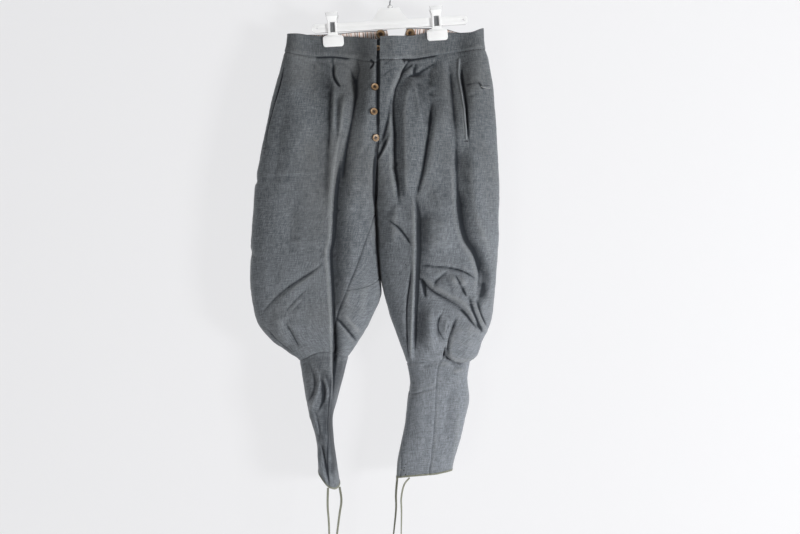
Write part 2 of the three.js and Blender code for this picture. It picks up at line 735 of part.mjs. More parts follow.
function dropFlatTriangles(geometry) {
  const index = geometry.getIndex().array;
  const kept = [];
  for (let k = 0; k < index.length; k += 3) {
    const [a, b, c] = index.slice(k, k + 3);
    if (a !== b && b !== c && a !== c) kept.push(a, b, c);
  }
  geometry.setIndex(kept);
  return geometry;
}

function seatButton(group, name, size, point, normal) {
  const mesh = meshOf(name, "button", buttonGeometry(size));
  mesh.position.copy(point);
  mesh.quaternion.setFromUnitVectors(new THREE.Vector3(0, 0, 1), normal);
  group.add(mesh);
}

function addButtons(group, grids) {
  const { right, left } = LEGS;
  FLY_BUTTONS.forEach(({ x, drop }, i) => {
    const { point, normal } = seatOn(grids.front_right, ringPlaceAt(right, drop, x), drop);
    seatButton(group, `fly_button_${i + 1}`, FLY_BUTTON, point.addScaledVector(normal, BUTTON_SEAT), normal);
  });
  const edge = grids.waistband_front_right[0][0].place;
  const waist = onFacets(grids.waistband_front_right, edge, WAIST_BUTTON.level);
  const deep = CLOTH + WAIST_BUTTON.thick + 1.2;
  const middle = waist.point.addScaledVector(waist.normal, -deep).setX(WAIST_BUTTON.x);
  seatButton(group, "waist_button", WAIST_BUTTON, middle, waist.normal);
  BRACE_BUTTONS.forEach(({ x, level }, i) => {
    const [leg, side] = i === 0 ? [right, "right"] : [left, "left"];
    const { share } = placeIn(ring(leg, level).back.places, "x", x);
    const { point, normal } = seatOn(grids[`waistband_back_${side}`], 2 - share, level);
    const seat = CLOTH + FACING + LAID_GAP + BUTTON_SEAT;
    const turned = normal.clone().negate();
    seatButton(group, `brace_button_${i + 1}`, BRACE_BUTTON, point.addScaledVector(normal, -seat), turned);
  });
}

// ---- Ties ----
function tapeSection() {
  const shape = new THREE.Shape();
  for (let k = 0; k < TIE.sides; k += 1) {
    const angle = (2 * Math.PI * (k + 0.5)) / TIE.sides;
    const [a, b] = [(TIE.thick / 2) * Math.cos(angle), (TIE.wide / 2) * Math.sin(angle)];
    if (k === 0) shape.moveTo(a, b);
    else shape.lineTo(a, b);
  }
  return shape;
}

function addTies(group) {
  for (const [name, route] of Object.entries(TIES)) {
    const curve = new THREE.CatmullRomCurve3(route.map(([x, y, drop]) => new THREE.Vector3(x, y, -drop)));
    const steps = Math.round(curve.getLength() / (2.4 * TIE.wide));
    const settings = { steps, extrudePath: curve, bevelEnabled: false };
    group.add(meshOf(name, "tape", sealed(new THREE.ExtrudeGeometry(tapeSection(), settings))));
  }
}

function sealed(geometry) {
  geometry.deleteAttribute("normal");
  geometry.deleteAttribute("uv");
  return dropFlatTriangles(mergeVertices(geometry, 1e-3));
}

// ---- Hanger ----
function barOutline() {
  const { half, high, hole, inset } = BAR;
  const [low, top] = [-high / 2, high / 2];
  const shape = new THREE.Shape();
  shape.moveTo(-half + high / 2, low);
  shape.lineTo(half - high / 2, low);
  shape.absarc(half - high / 2, 0, high / 2, -Math.PI / 2, Math.PI / 2);
  const [foot, head, crown] = [HUB.base, HUB.top, top + HUB.rise];
  shape.lineTo(foot, top);
  shape.bezierCurveTo(foot - 6, top + 4, head + 4, crown - 12, head, crown - HUB.round);
  shape.quadraticCurveTo(head, crown, head - HUB.round, crown);
  shape.lineTo(HUB.round - head, crown);
  shape.quadraticCurveTo(-head, crown, -head, crown - HUB.round);
  shape.bezierCurveTo(-head - 4, crown - 12, 6 - foot, top + 4, -foot, top);
  shape.lineTo(-half + high / 2, top);
  shape.absarc(-half + high / 2, 0, high / 2, Math.PI / 2, (3 * Math.PI) / 2);
  for (const end of [-1, 1]) {
    const bore = new THREE.Path();
    bore.absarc(end * (half - inset), 0, hole, 0, 2 * Math.PI, true);
    shape.holes.push(bore);
  }
  return shape;
}

// A bent plate: rectangles stacked by LEVER_ROWS, with the spring's window cut through.
async function leverGeometry(wasm, facing) {
  const outer = [];
  const inner = [];
  for (const { up, half, off } of LEVER_ROWS) {
    const near = facing * (JAW_DEPTH[facing < 0 ? "front" : "back"] + LAID_GAP + off);
    const far = near + facing * LEVER.thick;
    outer.push([-half, half].map((x) => new THREE.Vector3(x, far, up)));
    inner.push([-half, half].map((x) => new THREE.Vector3(x, near, up)));
  }
  const plate = wallBetween(outer, inner, facing < 0);
  const { wide, low, high } = LEVER.window;
  const box = new THREE.BoxGeometry(wide, LEVER.cutter, high - low).translate(0, 0, (low + high) / 2);
  return cut(wasm, plate, box);
}

function toManifold(wasm, geometry) {
  const bare = geometry.clone();
  bare.deleteAttribute("normal");
  bare.deleteAttribute("uv");
  const merged = mergeVertices(bare, 1e-3);
  const vertProperties = new Float32Array(merged.getAttribute("position").array);
  const triVerts = new Uint32Array(merged.getIndex().array);
  return new wasm.Manifold(new wasm.Mesh({ numProp: 3, vertProperties, triVerts }));
}

function cut(wasm, body, tool) {
  const mesh = toManifold(wasm, body).subtract(toManifold(wasm, tool)).getMesh();
  const geometry = new THREE.BufferGeometry();
  geometry.setAttribute("position", new THREE.BufferAttribute(new Float32Array(mesh.vertProperties), 3));
  geometry.setIndex(Array.from(mesh.triVerts));
  return geometry;
}

// An upside-down U of spring strip through both levers' windows, over the bar.
function springGeometry() {
  const { reach, low, high, thick } = SPRING;
  const shape = new THREE.Shape();
  shape.moveTo(-reach, low);
  shape.absarc(0, high, reach, Math.PI, 0, true);
  shape.lineTo(reach, low);
  shape.lineTo(reach - thick, low);
  shape.absarc(0, high, reach - thick, 0, Math.PI, false);
  shape.lineTo(thick - reach, low);
  const width = LEVER.window.wide - 2 * SPRING.play;
  const settings = { depth: width, bevelEnabled: false, curveSegments: 8 };
  const geometry = new THREE.ExtrudeGeometry(shape, settings).translate(0, 0, -width / 2);
  const upright = new THREE.Matrix4().makeBasis(
    new THREE.Vector3(0, 1, 0),
    new THREE.Vector3(0, 0, 1),
    new THREE.Vector3(1, 0, 0),
  );
  return sealed(geometry.applyMatrix4(upright));
}

function hookCurve() {
  const { hook, radius } = WIRE;
  const stem = -(BAR.drop - BAR.high / 2 - HUB.rise - COLLAR.high - 1);
  const turn = (angle) => {
    const t = THREE.MathUtils.degToRad(angle);
    return new THREE.Vector3(hook * Math.cos(t), 0, radius - hook + hook * Math.sin(t));
  };
  const points = HOOK_FOOT.map(({ x, up }) => new THREE.Vector3(x, 0, stem + up));
  for (let angle = 0; angle <= HOOK_TURN.end; angle += HOOK_TURN.step) points.push(turn(angle));
  return new THREE.CatmullRomCurve3(points);
}

async function addHanger(group) {
  const wasm = await Module();
  wasm.setup();
  const tilted = new THREE.Group();
  tilted.position.set(0, 0, -BAR.drop);
  tilted.rotation.y = -TILT;
  const settings = { depth: BAR.deep, bevelEnabled: false, curveSegments: 12 };
  const bar = new THREE.ExtrudeGeometry(barOutline(), settings).translate(0, 0, -BAR.deep / 2);
  tilted.add(meshOf("hanger_bar", "plastic", sealed(bar.rotateX(Math.PI / 2))));
  group.add(tilted);

  const { radius, high } = COLLAR;
  const foot = BAR.high / 2 + HUB.rise + 2 * LAID_GAP;
  const profile = COLLAR_PROFILE.map((row) => new THREE.Vector2(row.radius * radius, row.high * high));
  const collar = meshOf("hanger_collar", "plastic", closedLathe(profile, LATHE_STEPS));
  collar.position.set(0, 0, -BAR.drop + foot);
  group.add(collar);

  const wire = new THREE.Shape().absarc(0, 0, WIRE.radius, 0, 2 * Math.PI);
  const hook = { steps: 60, extrudePath: hookCurve(), bevelEnabled: false, curveSegments: WIRE.segments };
  group.add(meshOf("hanger_hook", "steel", sealed(new THREE.ExtrudeGeometry(wire, hook))));

  for (const [side, clip] of Object.entries(CLIPS)) {
    const frame = new THREE.Group();
    frame.position.set(clip.x, 0, -clip.drop);
    frame.rotation.y = -TILT;
    frame.add(meshOf(`clip_front_${side}`, "plastic", await leverGeometry(wasm, -1)));
    frame.add(meshOf(`clip_back_${side}`, "plastic", await leverGeometry(wasm, 1)));
    frame.add(meshOf(`clip_spring_${side}`, "steel", springGeometry()));
    group.add(frame);
  }
}

const model = new THREE.Group();
addButtons(model, addTrousers(model));
addTies(model);
await addHanger(model);

export default model;
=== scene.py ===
import math
import bmesh
import bpy
import numpy as np
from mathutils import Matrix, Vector


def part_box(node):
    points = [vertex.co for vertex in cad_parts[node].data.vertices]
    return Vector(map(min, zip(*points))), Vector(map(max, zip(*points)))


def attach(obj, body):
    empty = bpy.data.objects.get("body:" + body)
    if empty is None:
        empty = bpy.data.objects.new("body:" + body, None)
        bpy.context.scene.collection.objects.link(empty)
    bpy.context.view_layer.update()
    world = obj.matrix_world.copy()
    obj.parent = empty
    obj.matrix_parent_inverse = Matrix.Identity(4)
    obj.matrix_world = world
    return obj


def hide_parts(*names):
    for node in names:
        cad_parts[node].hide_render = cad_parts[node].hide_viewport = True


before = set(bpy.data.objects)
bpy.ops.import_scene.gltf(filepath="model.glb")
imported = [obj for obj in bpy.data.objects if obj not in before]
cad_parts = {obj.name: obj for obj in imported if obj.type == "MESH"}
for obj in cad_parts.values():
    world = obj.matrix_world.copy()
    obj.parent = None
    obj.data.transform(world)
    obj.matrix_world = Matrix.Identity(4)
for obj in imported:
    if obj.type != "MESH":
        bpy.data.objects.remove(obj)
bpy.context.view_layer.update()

mm = 0.001


# Tables: a name for each column, a row for each section or fold
def table(names, rows):
    return dict(zip(names.split(), np.array(rows, dtype=float).T))


def columnAt(rows, column, key, by="drop"):
    # a smooth curve through the rows that never overshoots them
    xs, ys = rows[by], rows[column]
    slopes = np.diff(ys) / np.diff(xs)
    before, after = slopes[:-1], slopes[1:]
    total = np.where(before * after > 0, before + after, 1.0)
    inner = np.where(before * after > 0, 2 * before * after / total, 0.0)
    tangents = np.concatenate([[slopes[0]], inner, [slopes[-1]]])
    key = np.clip(np.asarray(key, dtype=float), xs[0], xs[-1])
    i = np.clip(np.searchsorted(xs, key) - 1, 0, len(xs) - 2)
    span = xs[i + 1] - xs[i]
    t = (key - xs[i]) / span
    a, b = ys[i], ys[i + 1]
    p, q = tangents[i] * span, tangents[i + 1] * span
    return a + t * (p + t * (3 * (b - a) - 2 * p - q + t * (2 * (a - b) + p + q)))


def ease(value, start, end):
    t = np.clip((np.asarray(value, dtype=float) - start) / (end - start), 0, 1)
    return t * t * (3 - 2 * t)


def smoothPath(points, steps):
    # a curve through the points, with the same number of steps between each two
    given = np.array(points, dtype=float)
    before = 2 * given[0] - given[1]
    after = 2 * given[-1] - given[-2]
    knots = np.vstack([before, given, after])
    t = np.linspace(0, 1, steps, endpoint=False)[:, None]
    parts = []
    for i in range(1, len(knots) - 2):
        a, b, c, d = knots[i - 1:i + 3]
        parts.append(0.5 * (2 * b + (c - a) * t + (2 * a - 5 * b + 4 * c - d) * t * t
                            + (3 * b - a - 3 * c + d) * t ** 3))
    return np.vstack(parts + [given[-1:]])


def softNoise(points, size, seed):
    # smooth noise between about -1 and 1, over places in space
    rng = np.random.default_rng(seed)
    mixed = np.tile(rng.permutation(256), 2)
    slopes = rng.normal(size=(256, 3))
    slopes /= np.linalg.norm(slopes, axis=1, keepdims=True)
    scaled = points / np.asarray(size, dtype=float)
    cell = np.floor(scaled).astype(int)
    part = scaled - cell
    soft = part ** 3 * (part * (part * 6 - 15) + 10)
    total = np.zeros(points.shape[:-1])
    for corner in np.ndindex(2, 2, 2):
        at = cell + corner
        mark = mixed[(mixed[(mixed[at[..., 0] & 255] + at[..., 1]) & 255] + at[..., 2]) & 255]
        share = np.prod(np.where(np.array(corner) == 1, soft, 1 - soft), axis=-1)
        total += share * np.sum(slopes[mark] * (part - corner), axis=-1)
    return total * 1.6


# Making meshes
def clearSelection():
    if bpy.context.object and bpy.context.object.mode != "OBJECT":
        bpy.ops.object.mode_set(mode="OBJECT")
    bpy.ops.object.select_all(action="DESELECT")


def pickOnly(piece):
    clearSelection()
    piece.select_set(True)
    bpy.context.view_layer.objects.active = piece


def applyModifiers(piece):
    pickOnly(piece)
    for modifier in list(piece.modifiers):
        bpy.ops.object.modifier_apply(modifier=modifier.name)


def smooth(piece, angle=70):
    pickOnly(piece)
    bpy.ops.object.shade_smooth_by_angle(angle=math.radians(angle))


def meshPiece(name, points, faces, uv=None, wearAndPaintedLight=None):
    # points in mm; uv and the mark for wear and painted light and shade hold a value for each point
    mesh = bpy.data.meshes.new(name)
    mesh.from_pydata((np.asarray(points) * mm).tolist(), [], [list(map(int, f)) for f in faces])
    piece = bpy.data.objects.new(name, mesh)
    bpy.context.scene.collection.objects.link(piece)
    if uv is not None:
        layer = mesh.uv_layers.new(name="cloth")
        corners = np.zeros(len(mesh.loops), dtype=np.int32)
        mesh.loops.foreach_get("vertex_index", corners)
        layer.data.foreach_set("uv", (np.asarray(uv) * mm)[corners].ravel())
    if wearAndPaintedLight is not None:
        layer = mesh.attributes.new("wearAndPaintedLight", "FLOAT", "POINT")
        layer.data.foreach_set("value", np.asarray(wearAndPaintedLight, dtype=np.float32).ravel())
    return piece


def faceOutward(piece):
    pickOnly(piece)
    bpy.ops.object.mode_set(mode="EDIT")
    bpy.ops.mesh.select_all(action="SELECT")
    bpy.ops.mesh.normals_make_consistent(inside=False)
    bpy.ops.object.mode_set(mode="OBJECT")


def gridFaces(rows, columns, turned):
    index = np.arange(rows * columns).reshape(rows, columns)
    a, b = index[:-1, :-1].ravel(), index[:-1, 1:].ravel()
    c, d = index[1:, 1:].ravel(), index[1:, :-1].ravel()
    return np.stack([a, d, c, b] if turned else [a, b, c, d], axis=1)


def finishPiece(piece, material, slot, *nodes):
    if material:
        piece.data.materials.clear()
        piece.data.materials.append(material)
    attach(piece, "root")
    if nodes:
        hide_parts(*nodes)


# Camera, lights, wall and floor
view = {
    "middle": (0.020, -0.578),  # where the camera looks, as X and Z
    "distance": 2.222,
    "lens": 50,
}
wall = {
    "behind": 0.07,
    "wide": 9.0,
    "foot": -1.45,
    "top": 3.2,
    "floor": 12,
    "glow": (-0.8, 0.71, 0.8, 0.79),  # from this X and strength to that X and strength
}
lamps = [
    # name, place, what it looks at, size across and high, power, tint
    ("lampRight", (2.45, -2.0, -1.05), (0.0, 0.0, -0.62), (0.6, 0.6), 72, (0.985, 0.99, 1.0)),
    ("lampLeft", (-1.25, -2.5, -0.95), (0.0, 0.0, -0.62), (0.9, 1.0), 13, (1.0, 0.99, 0.97)),
    ("lampBehindLeft", (-1.8, 2.3, -0.2), (0.0, 0.0, -0.55), (1.6, 1.6), 26, (1.0, 1.0, 1.0)),
    ("lampBehindRight", (1.8, 2.3, -0.4), (0.0, 0.0, -0.55), (1.6, 1.6), 26, (1.0, 1.0, 1.0)),
]

camera = bpy.data.cameras.new("camera")
camera.lens = view["lens"]
camera.sensor_width = 36
cameraPiece = bpy.data.objects.new("camera", camera)
cameraPiece.location = (view["middle"][0], -view["distance"], view["middle"][1])
cameraPiece.rotation_euler = (math.radians(90), 0, 0)
bpy.context.scene.collection.objects.link(cameraPiece)
bpy.context.scene.camera = cameraPiece
bpy.context.scene.view_settings.view_transform = "Standard"
bpy.context.scene.view_settings.look = "None"

for name, place, target, size, power, tint in lamps:
    light = bpy.data.lights.new(name, "AREA")
    light.shape = "RECTANGLE"
    light.size, light.size_y = size
    light.energy = power
    light.color = tint
    piece = bpy.data.objects.new(name, light)
    piece.location = place
    piece.rotation_euler = (Vector(target) - Vector(place)).to_track_quat("-Z", "Y").to_euler()
    bpy.context.scene.collection.objects.link(piece)

world = bpy.data.worlds.new("studio")
world.use_nodes = True
world.node_tree.nodes["Background"].inputs["Color"].default_value = (0.93, 0.94, 0.96, 1)
world.node_tree.nodes["Background"].inputs["Strength"].default_value = 0.11
bpy.context.scene.world = world


def stageMaterial(name, oneSided):
    material = bpy.data.materials.new(name)
    material.use_nodes = True
    nodes, links = material.node_tree.nodes, material.node_tree.links
    shader = nodes["Principled BSDF"]
    shader.inputs["Base Color"].default_value = (0.86, 0.865, 0.875, 1)
    shader.inputs["Roughness"].default_value = 0.95
    if oneSided:
        # painted light: the wall glows a little, so shadows on it stay faint
        shader.inputs["Base Color"].default_value = (0.14, 0.14, 0.143, 1)
        shader.inputs["Emission Color"].default_value = (0.985, 0.985, 1.0, 1)
        # and it glows more towards the right, a painted gradient of light
        where = nodes.new("ShaderNodeTexCoord")
        split = nodes.new("ShaderNodeSeparateXYZ")
        glow = nodes.new("ShaderNodeMapRange")
        links.new(where.outputs["Object"], split.inputs[0])
        links.new(split.outputs["X"], glow.inputs["Value"])
        for key, number in zip(("From Min", "To Min", "From Max", "To Max"), wall["glow"]):
            glow.inputs[key].default_value = number
        links.new(glow.outputs[0], shader.inputs["Emission Strength"])
        # the wall doesn't hide the back of the garment
        side = nodes.new("ShaderNodeNewGeometry")
        clear = nodes.new("ShaderNodeBsdfTransparent")
        mix = nodes.new("ShaderNodeMixShader")
        links.new(side.outputs["Backfacing"], mix.inputs[0])
        links.new(shader.outputs[0], mix.inputs[1])
        links.new(clear.outputs[0], mix.inputs[2])
        links.new(mix.outputs[0], nodes["Material Output"].inputs["Surface"])
    return material


half = wall["wide"] / 2
backdrop = bpy.data.meshes.new("backdrop")
backdrop.from_pydata(
    [(-half, wall["behind"], wall["foot"]), (half, wall["behind"], wall["foot"]),
     (half, wall["behind"], wall["top"]), (-half, wall["behind"], wall["top"])],
    [], [(0, 1, 2, 3)])
backdropPiece = bpy.data.objects.new("backdrop", backdrop)
backdrop.materials.append(stageMaterial("paleWall", True))
backdropPiece.visible_shadow = False
bpy.context.scene.collection.objects.link(backdropPiece)
clearSelection()
bpy.ops.mesh.primitive_plane_add(size=wall["floor"], location=(0, 0, wall["foot"]))
floorPiece = bpy.context.object
floorPiece.name = "floor"
floorPiece.data.materials.append(stageMaterial("paleFloor", False))
print("camera, lights and stage are set")


# Materials
class Finish:
    # a material with helpers that add one node each
    def __init__(self, name):
        self.material = bpy.data.materials.new(name)
        self.material.use_nodes = True
        self.nodes = self.material.node_tree.nodes
        self.links = self.material.node_tree.links
        self.shader = self.nodes["Principled BSDF"]

    def node(self, kind, settings=None, **inputs):
        node = self.nodes.new(kind)
        for key, value in (settings or {}).items():
            setattr(node, key, value)
        for key, value in inputs.items():
            self.plug(node.inputs[key.replace("_", " ")], value)
        return node

    def plug(self, socket, value):
        if isinstance(value, bpy.types.NodeSocket):
            self.links.new(value, socket)
        else:
            socket.default_value = value

    def place(self, source="UV", scale=(1, 1, 1), turn=0.0):
        where = self.nodes.new("ShaderNodeTexCoord").outputs[source]
        mapping = self.node("ShaderNodeMapping")
        self.links.new(where, mapping.inputs["Vector"])
        mapping.inputs["Scale"].default_value = scale
        mapping.inputs["Rotation"].default_value = (0, 0, turn)
        return mapping.outputs[0]

    def noise(self, vector, scale, detail=3, rough=0.55, warp=0.0):
        node = self.node("ShaderNodeTexNoise", Vector=vector, Scale=scale, Detail=detail,
                         Roughness=rough, Distortion=warp)
        return node.outputs["Fac"]

    def wave(self, vector, scale, direction="X", warp=0.0):
        node = self.node("ShaderNodeTexWave", {"bands_direction": direction}, Vector=vector,
                         Scale=scale, Distortion=warp)
        return node.outputs["Fac"]

    def math(self, operation, a, b=0.0):
        node = self.node("ShaderNodeMath", {"operation": operation})
        self.plug(node.inputs[0], a)
        self.plug(node.inputs[1], b)
        return node.outputs[0]

    def ramp(self, value, *stops):
        node = self.node("ShaderNodeValToRGB", Fac=value)
        while len(node.color_ramp.elements) < len(stops):
            node.color_ramp.elements.new(0.5)
        for element, (place, tint) in zip(node.color_ramp.elements, stops):
            element.position = place
            element.color = tint
        return node.outputs[0]

    def span(self, value, low, high, start=0.0, end=1.0):
        node = self.node("ShaderNodeMapRange", Value=value)
        for key, number in (("From Min", low), ("From Max", high), ("To Min", start), ("To Max", end)):
            node.inputs[key].default_value = number
        return node.outputs[0]

    def mix(self, share, a, b, kind="MIX"):
        node = self.node("ShaderNodeMix", {"data_type": "RGBA", "blend_type": kind})
        self.plug(node.inputs[0], share)
        self.plug(node.inputs[6], a)
        self.plug(node.inputs[7], b)
        return node.outputs[2]

    def value(self, name):
        return self.node("ShaderNodeAttribute", {"attribute_name": name}).outputs["Fac"]

    def bump(self, height, strength, distance, after=None):
        node = self.node("ShaderNodeBump", Height=height, Strength=strength, Distance=distance)
        if after:
            self.links.new(after, node.inputs["Normal"])
        return node.outputs[0]

    def give(self, **inputs):
        for key, value in inputs.items():
            self.plug(self.shader.inputs[key.replace("_", " ")], value)
        return self.material


def colour(red, green, blue):
    # a colour as a paint chart gives it, 0 to 255, made linear
    return tuple((c / 255 / 12.92 if c < 10.4 else ((c / 255 + 0.055) / 1.055) ** 2.4)
                 for c in (red, green, blue)) + (1,)


greyCloth = {
    "dark": colour(72, 77, 82),
    "middle": colour(103, 108, 112),
    "light": colour(134, 138, 142),
    "brown": colour(106, 105, 101),
    # painted light: paler colours for the lower legs
    "paintedLowerLight": colour(138, 143, 150),
    "palest": colour(166, 171, 178),
    # paler crests, partly wear and partly painted highlight, then the painted shade of hollows
    "wearAndPaintedLight": colour(150, 153, 154),
    "hollow": colour(34, 38, 44),
    "thread": 1750,  # threads across a metre of UV, as the wave texture counts them
}


def clothMaterial(name="greyCloth", shade=greyCloth):
    f = Finish(name)
    flat = f.place("UV")
    slubsDown = f.noise(f.place("UV", (460, 70, 1)), 1.0, 2, 0.6)
    slubsAcross = f.noise(f.place("UV", (60, 500, 1)), 1.0, 2, 0.6)
    fleck = f.noise(f.place("UV", (620, 620, 1)), 1.0, 3, 0.7)
    patches = f.noise(f.place("Object", (9, 9, 9)), 1.0, 4, 0.6)
    heather = f.math("ADD", f.math("MULTIPLY", slubsDown, 0.32), f.math("MULTIPLY", slubsAcross, 0.28))
    heather = f.math("ADD", heather, f.math("MULTIPLY", fleck, 0.40))
    base = f.ramp(heather, (0.4, shade["dark"]), (0.5, shade["middle"]), (0.6, shade["light"]))
    base = f.mix(f.span(patches, 0.35, 0.7, 0.0, 0.22), base, shade["light"])
    # some of the dye has browned
    browned = f.noise(f.place("Object", (5, 5, 4)), 1.0, 3, 0.6)
    base = f.mix(f.span(browned, 0.45, 0.65, 0.0, 0.35), base, shade["brown"])
    # painted light: the lower part is painted paler, the wearer's left more than the right
    where = f.node("ShaderNodeSeparateXYZ", Vector=f.place("Object", (1, 1, 1)))
    paintedLowerLight = f.math("MULTIPLY", f.span(where.outputs["Z"], -0.35, -0.85, 0.0, 1.0),
                   f.span(where.outputs["X"], -0.1, 0.12, 0.45, 1.0))
    pale = f.ramp(heather, (0.37, shade["middle"]), (0.5, shade["paintedLowerLight"]), (0.63, shade["palest"]))
    base = f.mix(f.math("MULTIPLY", paintedLowerLight, 0.78), base, pale)
    # crests are paler, partly wear and partly a painted highlight
    wearAndPaintedLight = f.span(f.value("wearAndPaintedLight"), 0.25, 1.3, 0.0, 0.55)
    base = f.mix(f.math("MULTIPLY", wearAndPaintedLight, f.span(fleck, 0.3, 0.7, 0.5, 1.0)), base, shade["wearAndPaintedLight"])
    # painted shade: hollows, creases, seams and sheltered places darken towards a near black
    hollow = f.span(f.value("wearAndPaintedLight"), -0.2, -2.4, 0.0, 0.94)
    base = f.mix(hollow, base, shade["hollow"])
    warp = f.wave(flat, shade["thread"] / 6.28, "X", 0.6)
    weft = f.wave(flat, shade["thread"] / 6.28, "Y", 0.6)
    weave = f.math("ADD", f.math("MULTIPLY", warp, 0.5), f.math("MULTIPLY", weft, 0.5))
    normal = f.bump(weave, 0.35, 0.0003)
    normal = f.bump(heather, 0.5, 0.0006, normal)
    rough = f.span(fleck, 0.2, 0.8, 0.82, 0.98)
    material = f.give(Base_Color=base, Roughness=rough, Normal=normal)
    f.shader.inputs["Sheen Weight"].default_value = 0.12
    f.shader.inputs["Sheen Roughness"].default_value = 0.5
    f.shader.inputs["Specular IOR Level"].default_value = 0.25
    return material


def stripedMaterial():
    # shirting stripes in groups of three, brown, grey and orange on a warm white
    f = Finish("stripedFacing")
    across = f.place("UV", (1, 1, 1))
    u = f.node("ShaderNodeSeparateXYZ", Vector=across).outputs["X"]
    wobble = f.math("MULTIPLY", f.math("SUBTRACT", f.noise(f.place("UV", (60, 300, 1)), 1.0), 0.5), 0.0012)
    turn = f.math("FRACT", f.math("MULTIPLY", f.math("ADD", u, wobble), 62.0))
    white = colour(246, 234, 228)
    stripes = f.ramp(turn, (0.0, white), (0.20, white), (0.235, colour(150, 104, 82)),
                     (0.30, colour(150, 104, 82)), (0.335, white), (0.47, white),
                     (0.50, colour(128, 124, 128)), (0.56, colour(128, 124, 128)), (0.60, white),
                     (0.72, white), (0.75, colour(196, 132, 88)), (0.80, colour(196, 132, 88)),
                     (0.84, white), (1.0, white))
    grime = f.noise(f.place("Object", (40, 40, 40)), 1.0, 4)
    base = f.mix(f.span(grime, 0.45, 0.8, 0.0, 0.25), stripes, colour(206, 186, 174))
    weave = f.math("ADD", f.wave(across, 320, "X"), f.wave(across, 320, "Y"))
    material = f.give(Base_Color=base, Roughness=0.93, Normal=f.bump(weave, 0.2, 0.0002))
    return material


def tapeMaterial():
    f = Finish("greenTape")
    flat = f.place("UV")
    ribs = f.wave(flat, 260, "Y")
    edge = f.wave(flat, 180, "X")
    tone = f.noise(f.place("UV", (500, 120, 1)), 1.0, 3)
    base = f.ramp(tone, (0.3, colour(116, 118, 104)), (0.55, colour(139, 140, 126)),
                  (0.75, colour(160, 160, 147)))
    height = f.math("ADD", ribs, f.math("MULTIPLY", edge, 0.5))
    return f.give(Base_Color=base, Roughness=0.9, Normal=f.bump(height, 0.5, 0.0003))


def threadMaterial(name, tone):
    f = Finish(name)
    twist = f.wave(f.place("Object", (1, 1, 1), 0.7), 900, "DIAGONAL")
    base = f.mix(f.span(twist, 0, 1, 0.0, 0.5), tone, tuple(c * 0.55 for c in tone[:3]) + (1,))
    return f.give(Base_Color=base, Roughness=0.85, Normal=f.bump(twist, 0.4, 0.0002))


def hornMaterial():
    f = Finish("brownHorn")
    where = f.place("Object")
    grain = f.noise(f.place("Object", (150, 150, 420)), 1.0, 4, 0.6, 1.2)
    cloud = f.noise(where, 190, 3, 0.5, 0.4)
    base = f.ramp(grain, (0.28, colour(120, 88, 56)), (0.48, colour(176, 142, 102)),
                  (0.7, colour(214, 188, 154)))
    base = f.mix(f.span(cloud, 0.42, 0.66, 0.0, 0.6), base, colour(118, 88, 54))
    # the outer edge and the middle darken, the edge partly as painted shade
    dark = f.span(f.value("wearAndPaintedLight"), 0.0, 1.0, 0.0, 0.95)
    base = f.mix(dark, base, colour(50, 30, 14))
    scuffs = f.noise(f.place("Object", (900, 900, 900)), 1.0, 2)
    material = f.give(Base_Color=base, Roughness=f.span(scuffs, 0.3, 0.7, 0.26, 0.48),
                      Normal=f.bump(grain, 0.15, 0.0003))
    f.shader.inputs["Coat Weight"].default_value = 0.25
    f.shader.inputs["Coat Roughness"].default_value = 0.2
    return material


def plasticMaterial():
    f = Finish("whitePlastic")
    cloud = f.noise(f.place("Object", (14, 14, 14)), 1.0, 3)
    scuffs = f.noise(f.place("Object", (700, 700, 160)), 1.0, 3)
    base = f.ramp(cloud, (0.3, colour(248, 248, 247)), (0.7, colour(254, 254, 253)))
    # painted shade on the rounded rims and sides
    base = f.mix(f.span(f.value("rim"), 0.0, 1.0, 0.0, 0.9), base, colour(62, 64, 70))
    material = f.give(Base_Color=base, Roughness=f.span(scuffs, 0.3, 0.7, 0.3, 0.44),
                      Normal=f.bump(cloud, 0.05, 0.0006))
    f.shader.inputs["Coat Weight"].default_value = 0.1
    # painted light: the plastic glows a little, so it stays white beside the wall
    f.shader.inputs["Emission Color"].default_value = (1, 1, 1, 1)
    f.shader.inputs["Emission Strength"].default_value = 0.13
    return material


def steelMaterial():
    f = Finish("brightSteel")
    drawn = f.noise(f.place("Object", (1800, 1800, 90)), 1.0, 3)
    base = f.ramp(drawn, (0.3, colour(150, 152, 155)), (0.7, colour(196, 198, 200)))
    return f.give(Base_Color=base, Metallic=0.8, Roughness=f.span(drawn, 0.2, 0.8, 0.3, 0.5),
                  Normal=f.bump(drawn, 0.12, 0.0002))


grey = clothMaterial()
# painted light: a lighter copy of the grey cloth, for the lit edge of the wearer's left pocket
litGreyCloth = clothMaterial("litGreyCloth", {
    **greyCloth,
    "dark": colour(116, 121, 125),
    "middle": colour(132, 137, 141),
    "light": colour(148, 152, 155),
})
# painted shade: a darker copy of the grey cloth, for the button stand in the shade behind the fly
shadedGreyCloth = clothMaterial("shadedGreyCloth", {
    **greyCloth,
    "dark": colour(34, 38, 42),
    "middle": colour(44, 48, 52),
    "light": colour(54, 58, 62),
    "brown": colour(44, 46, 46),
})
stripes = stripedMaterial()
tape = tapeMaterial()
greyThread = threadMaterial("greyThread", colour(112, 117, 121))
darkThread = threadMaterial("darkThread", colour(44, 42, 44))
paleThread = threadMaterial("paleThread", colour(204, 203, 199))
horn = hornMaterial()
plastic = plasticMaterial()
steel = steelMaterial()
print("materials are made")


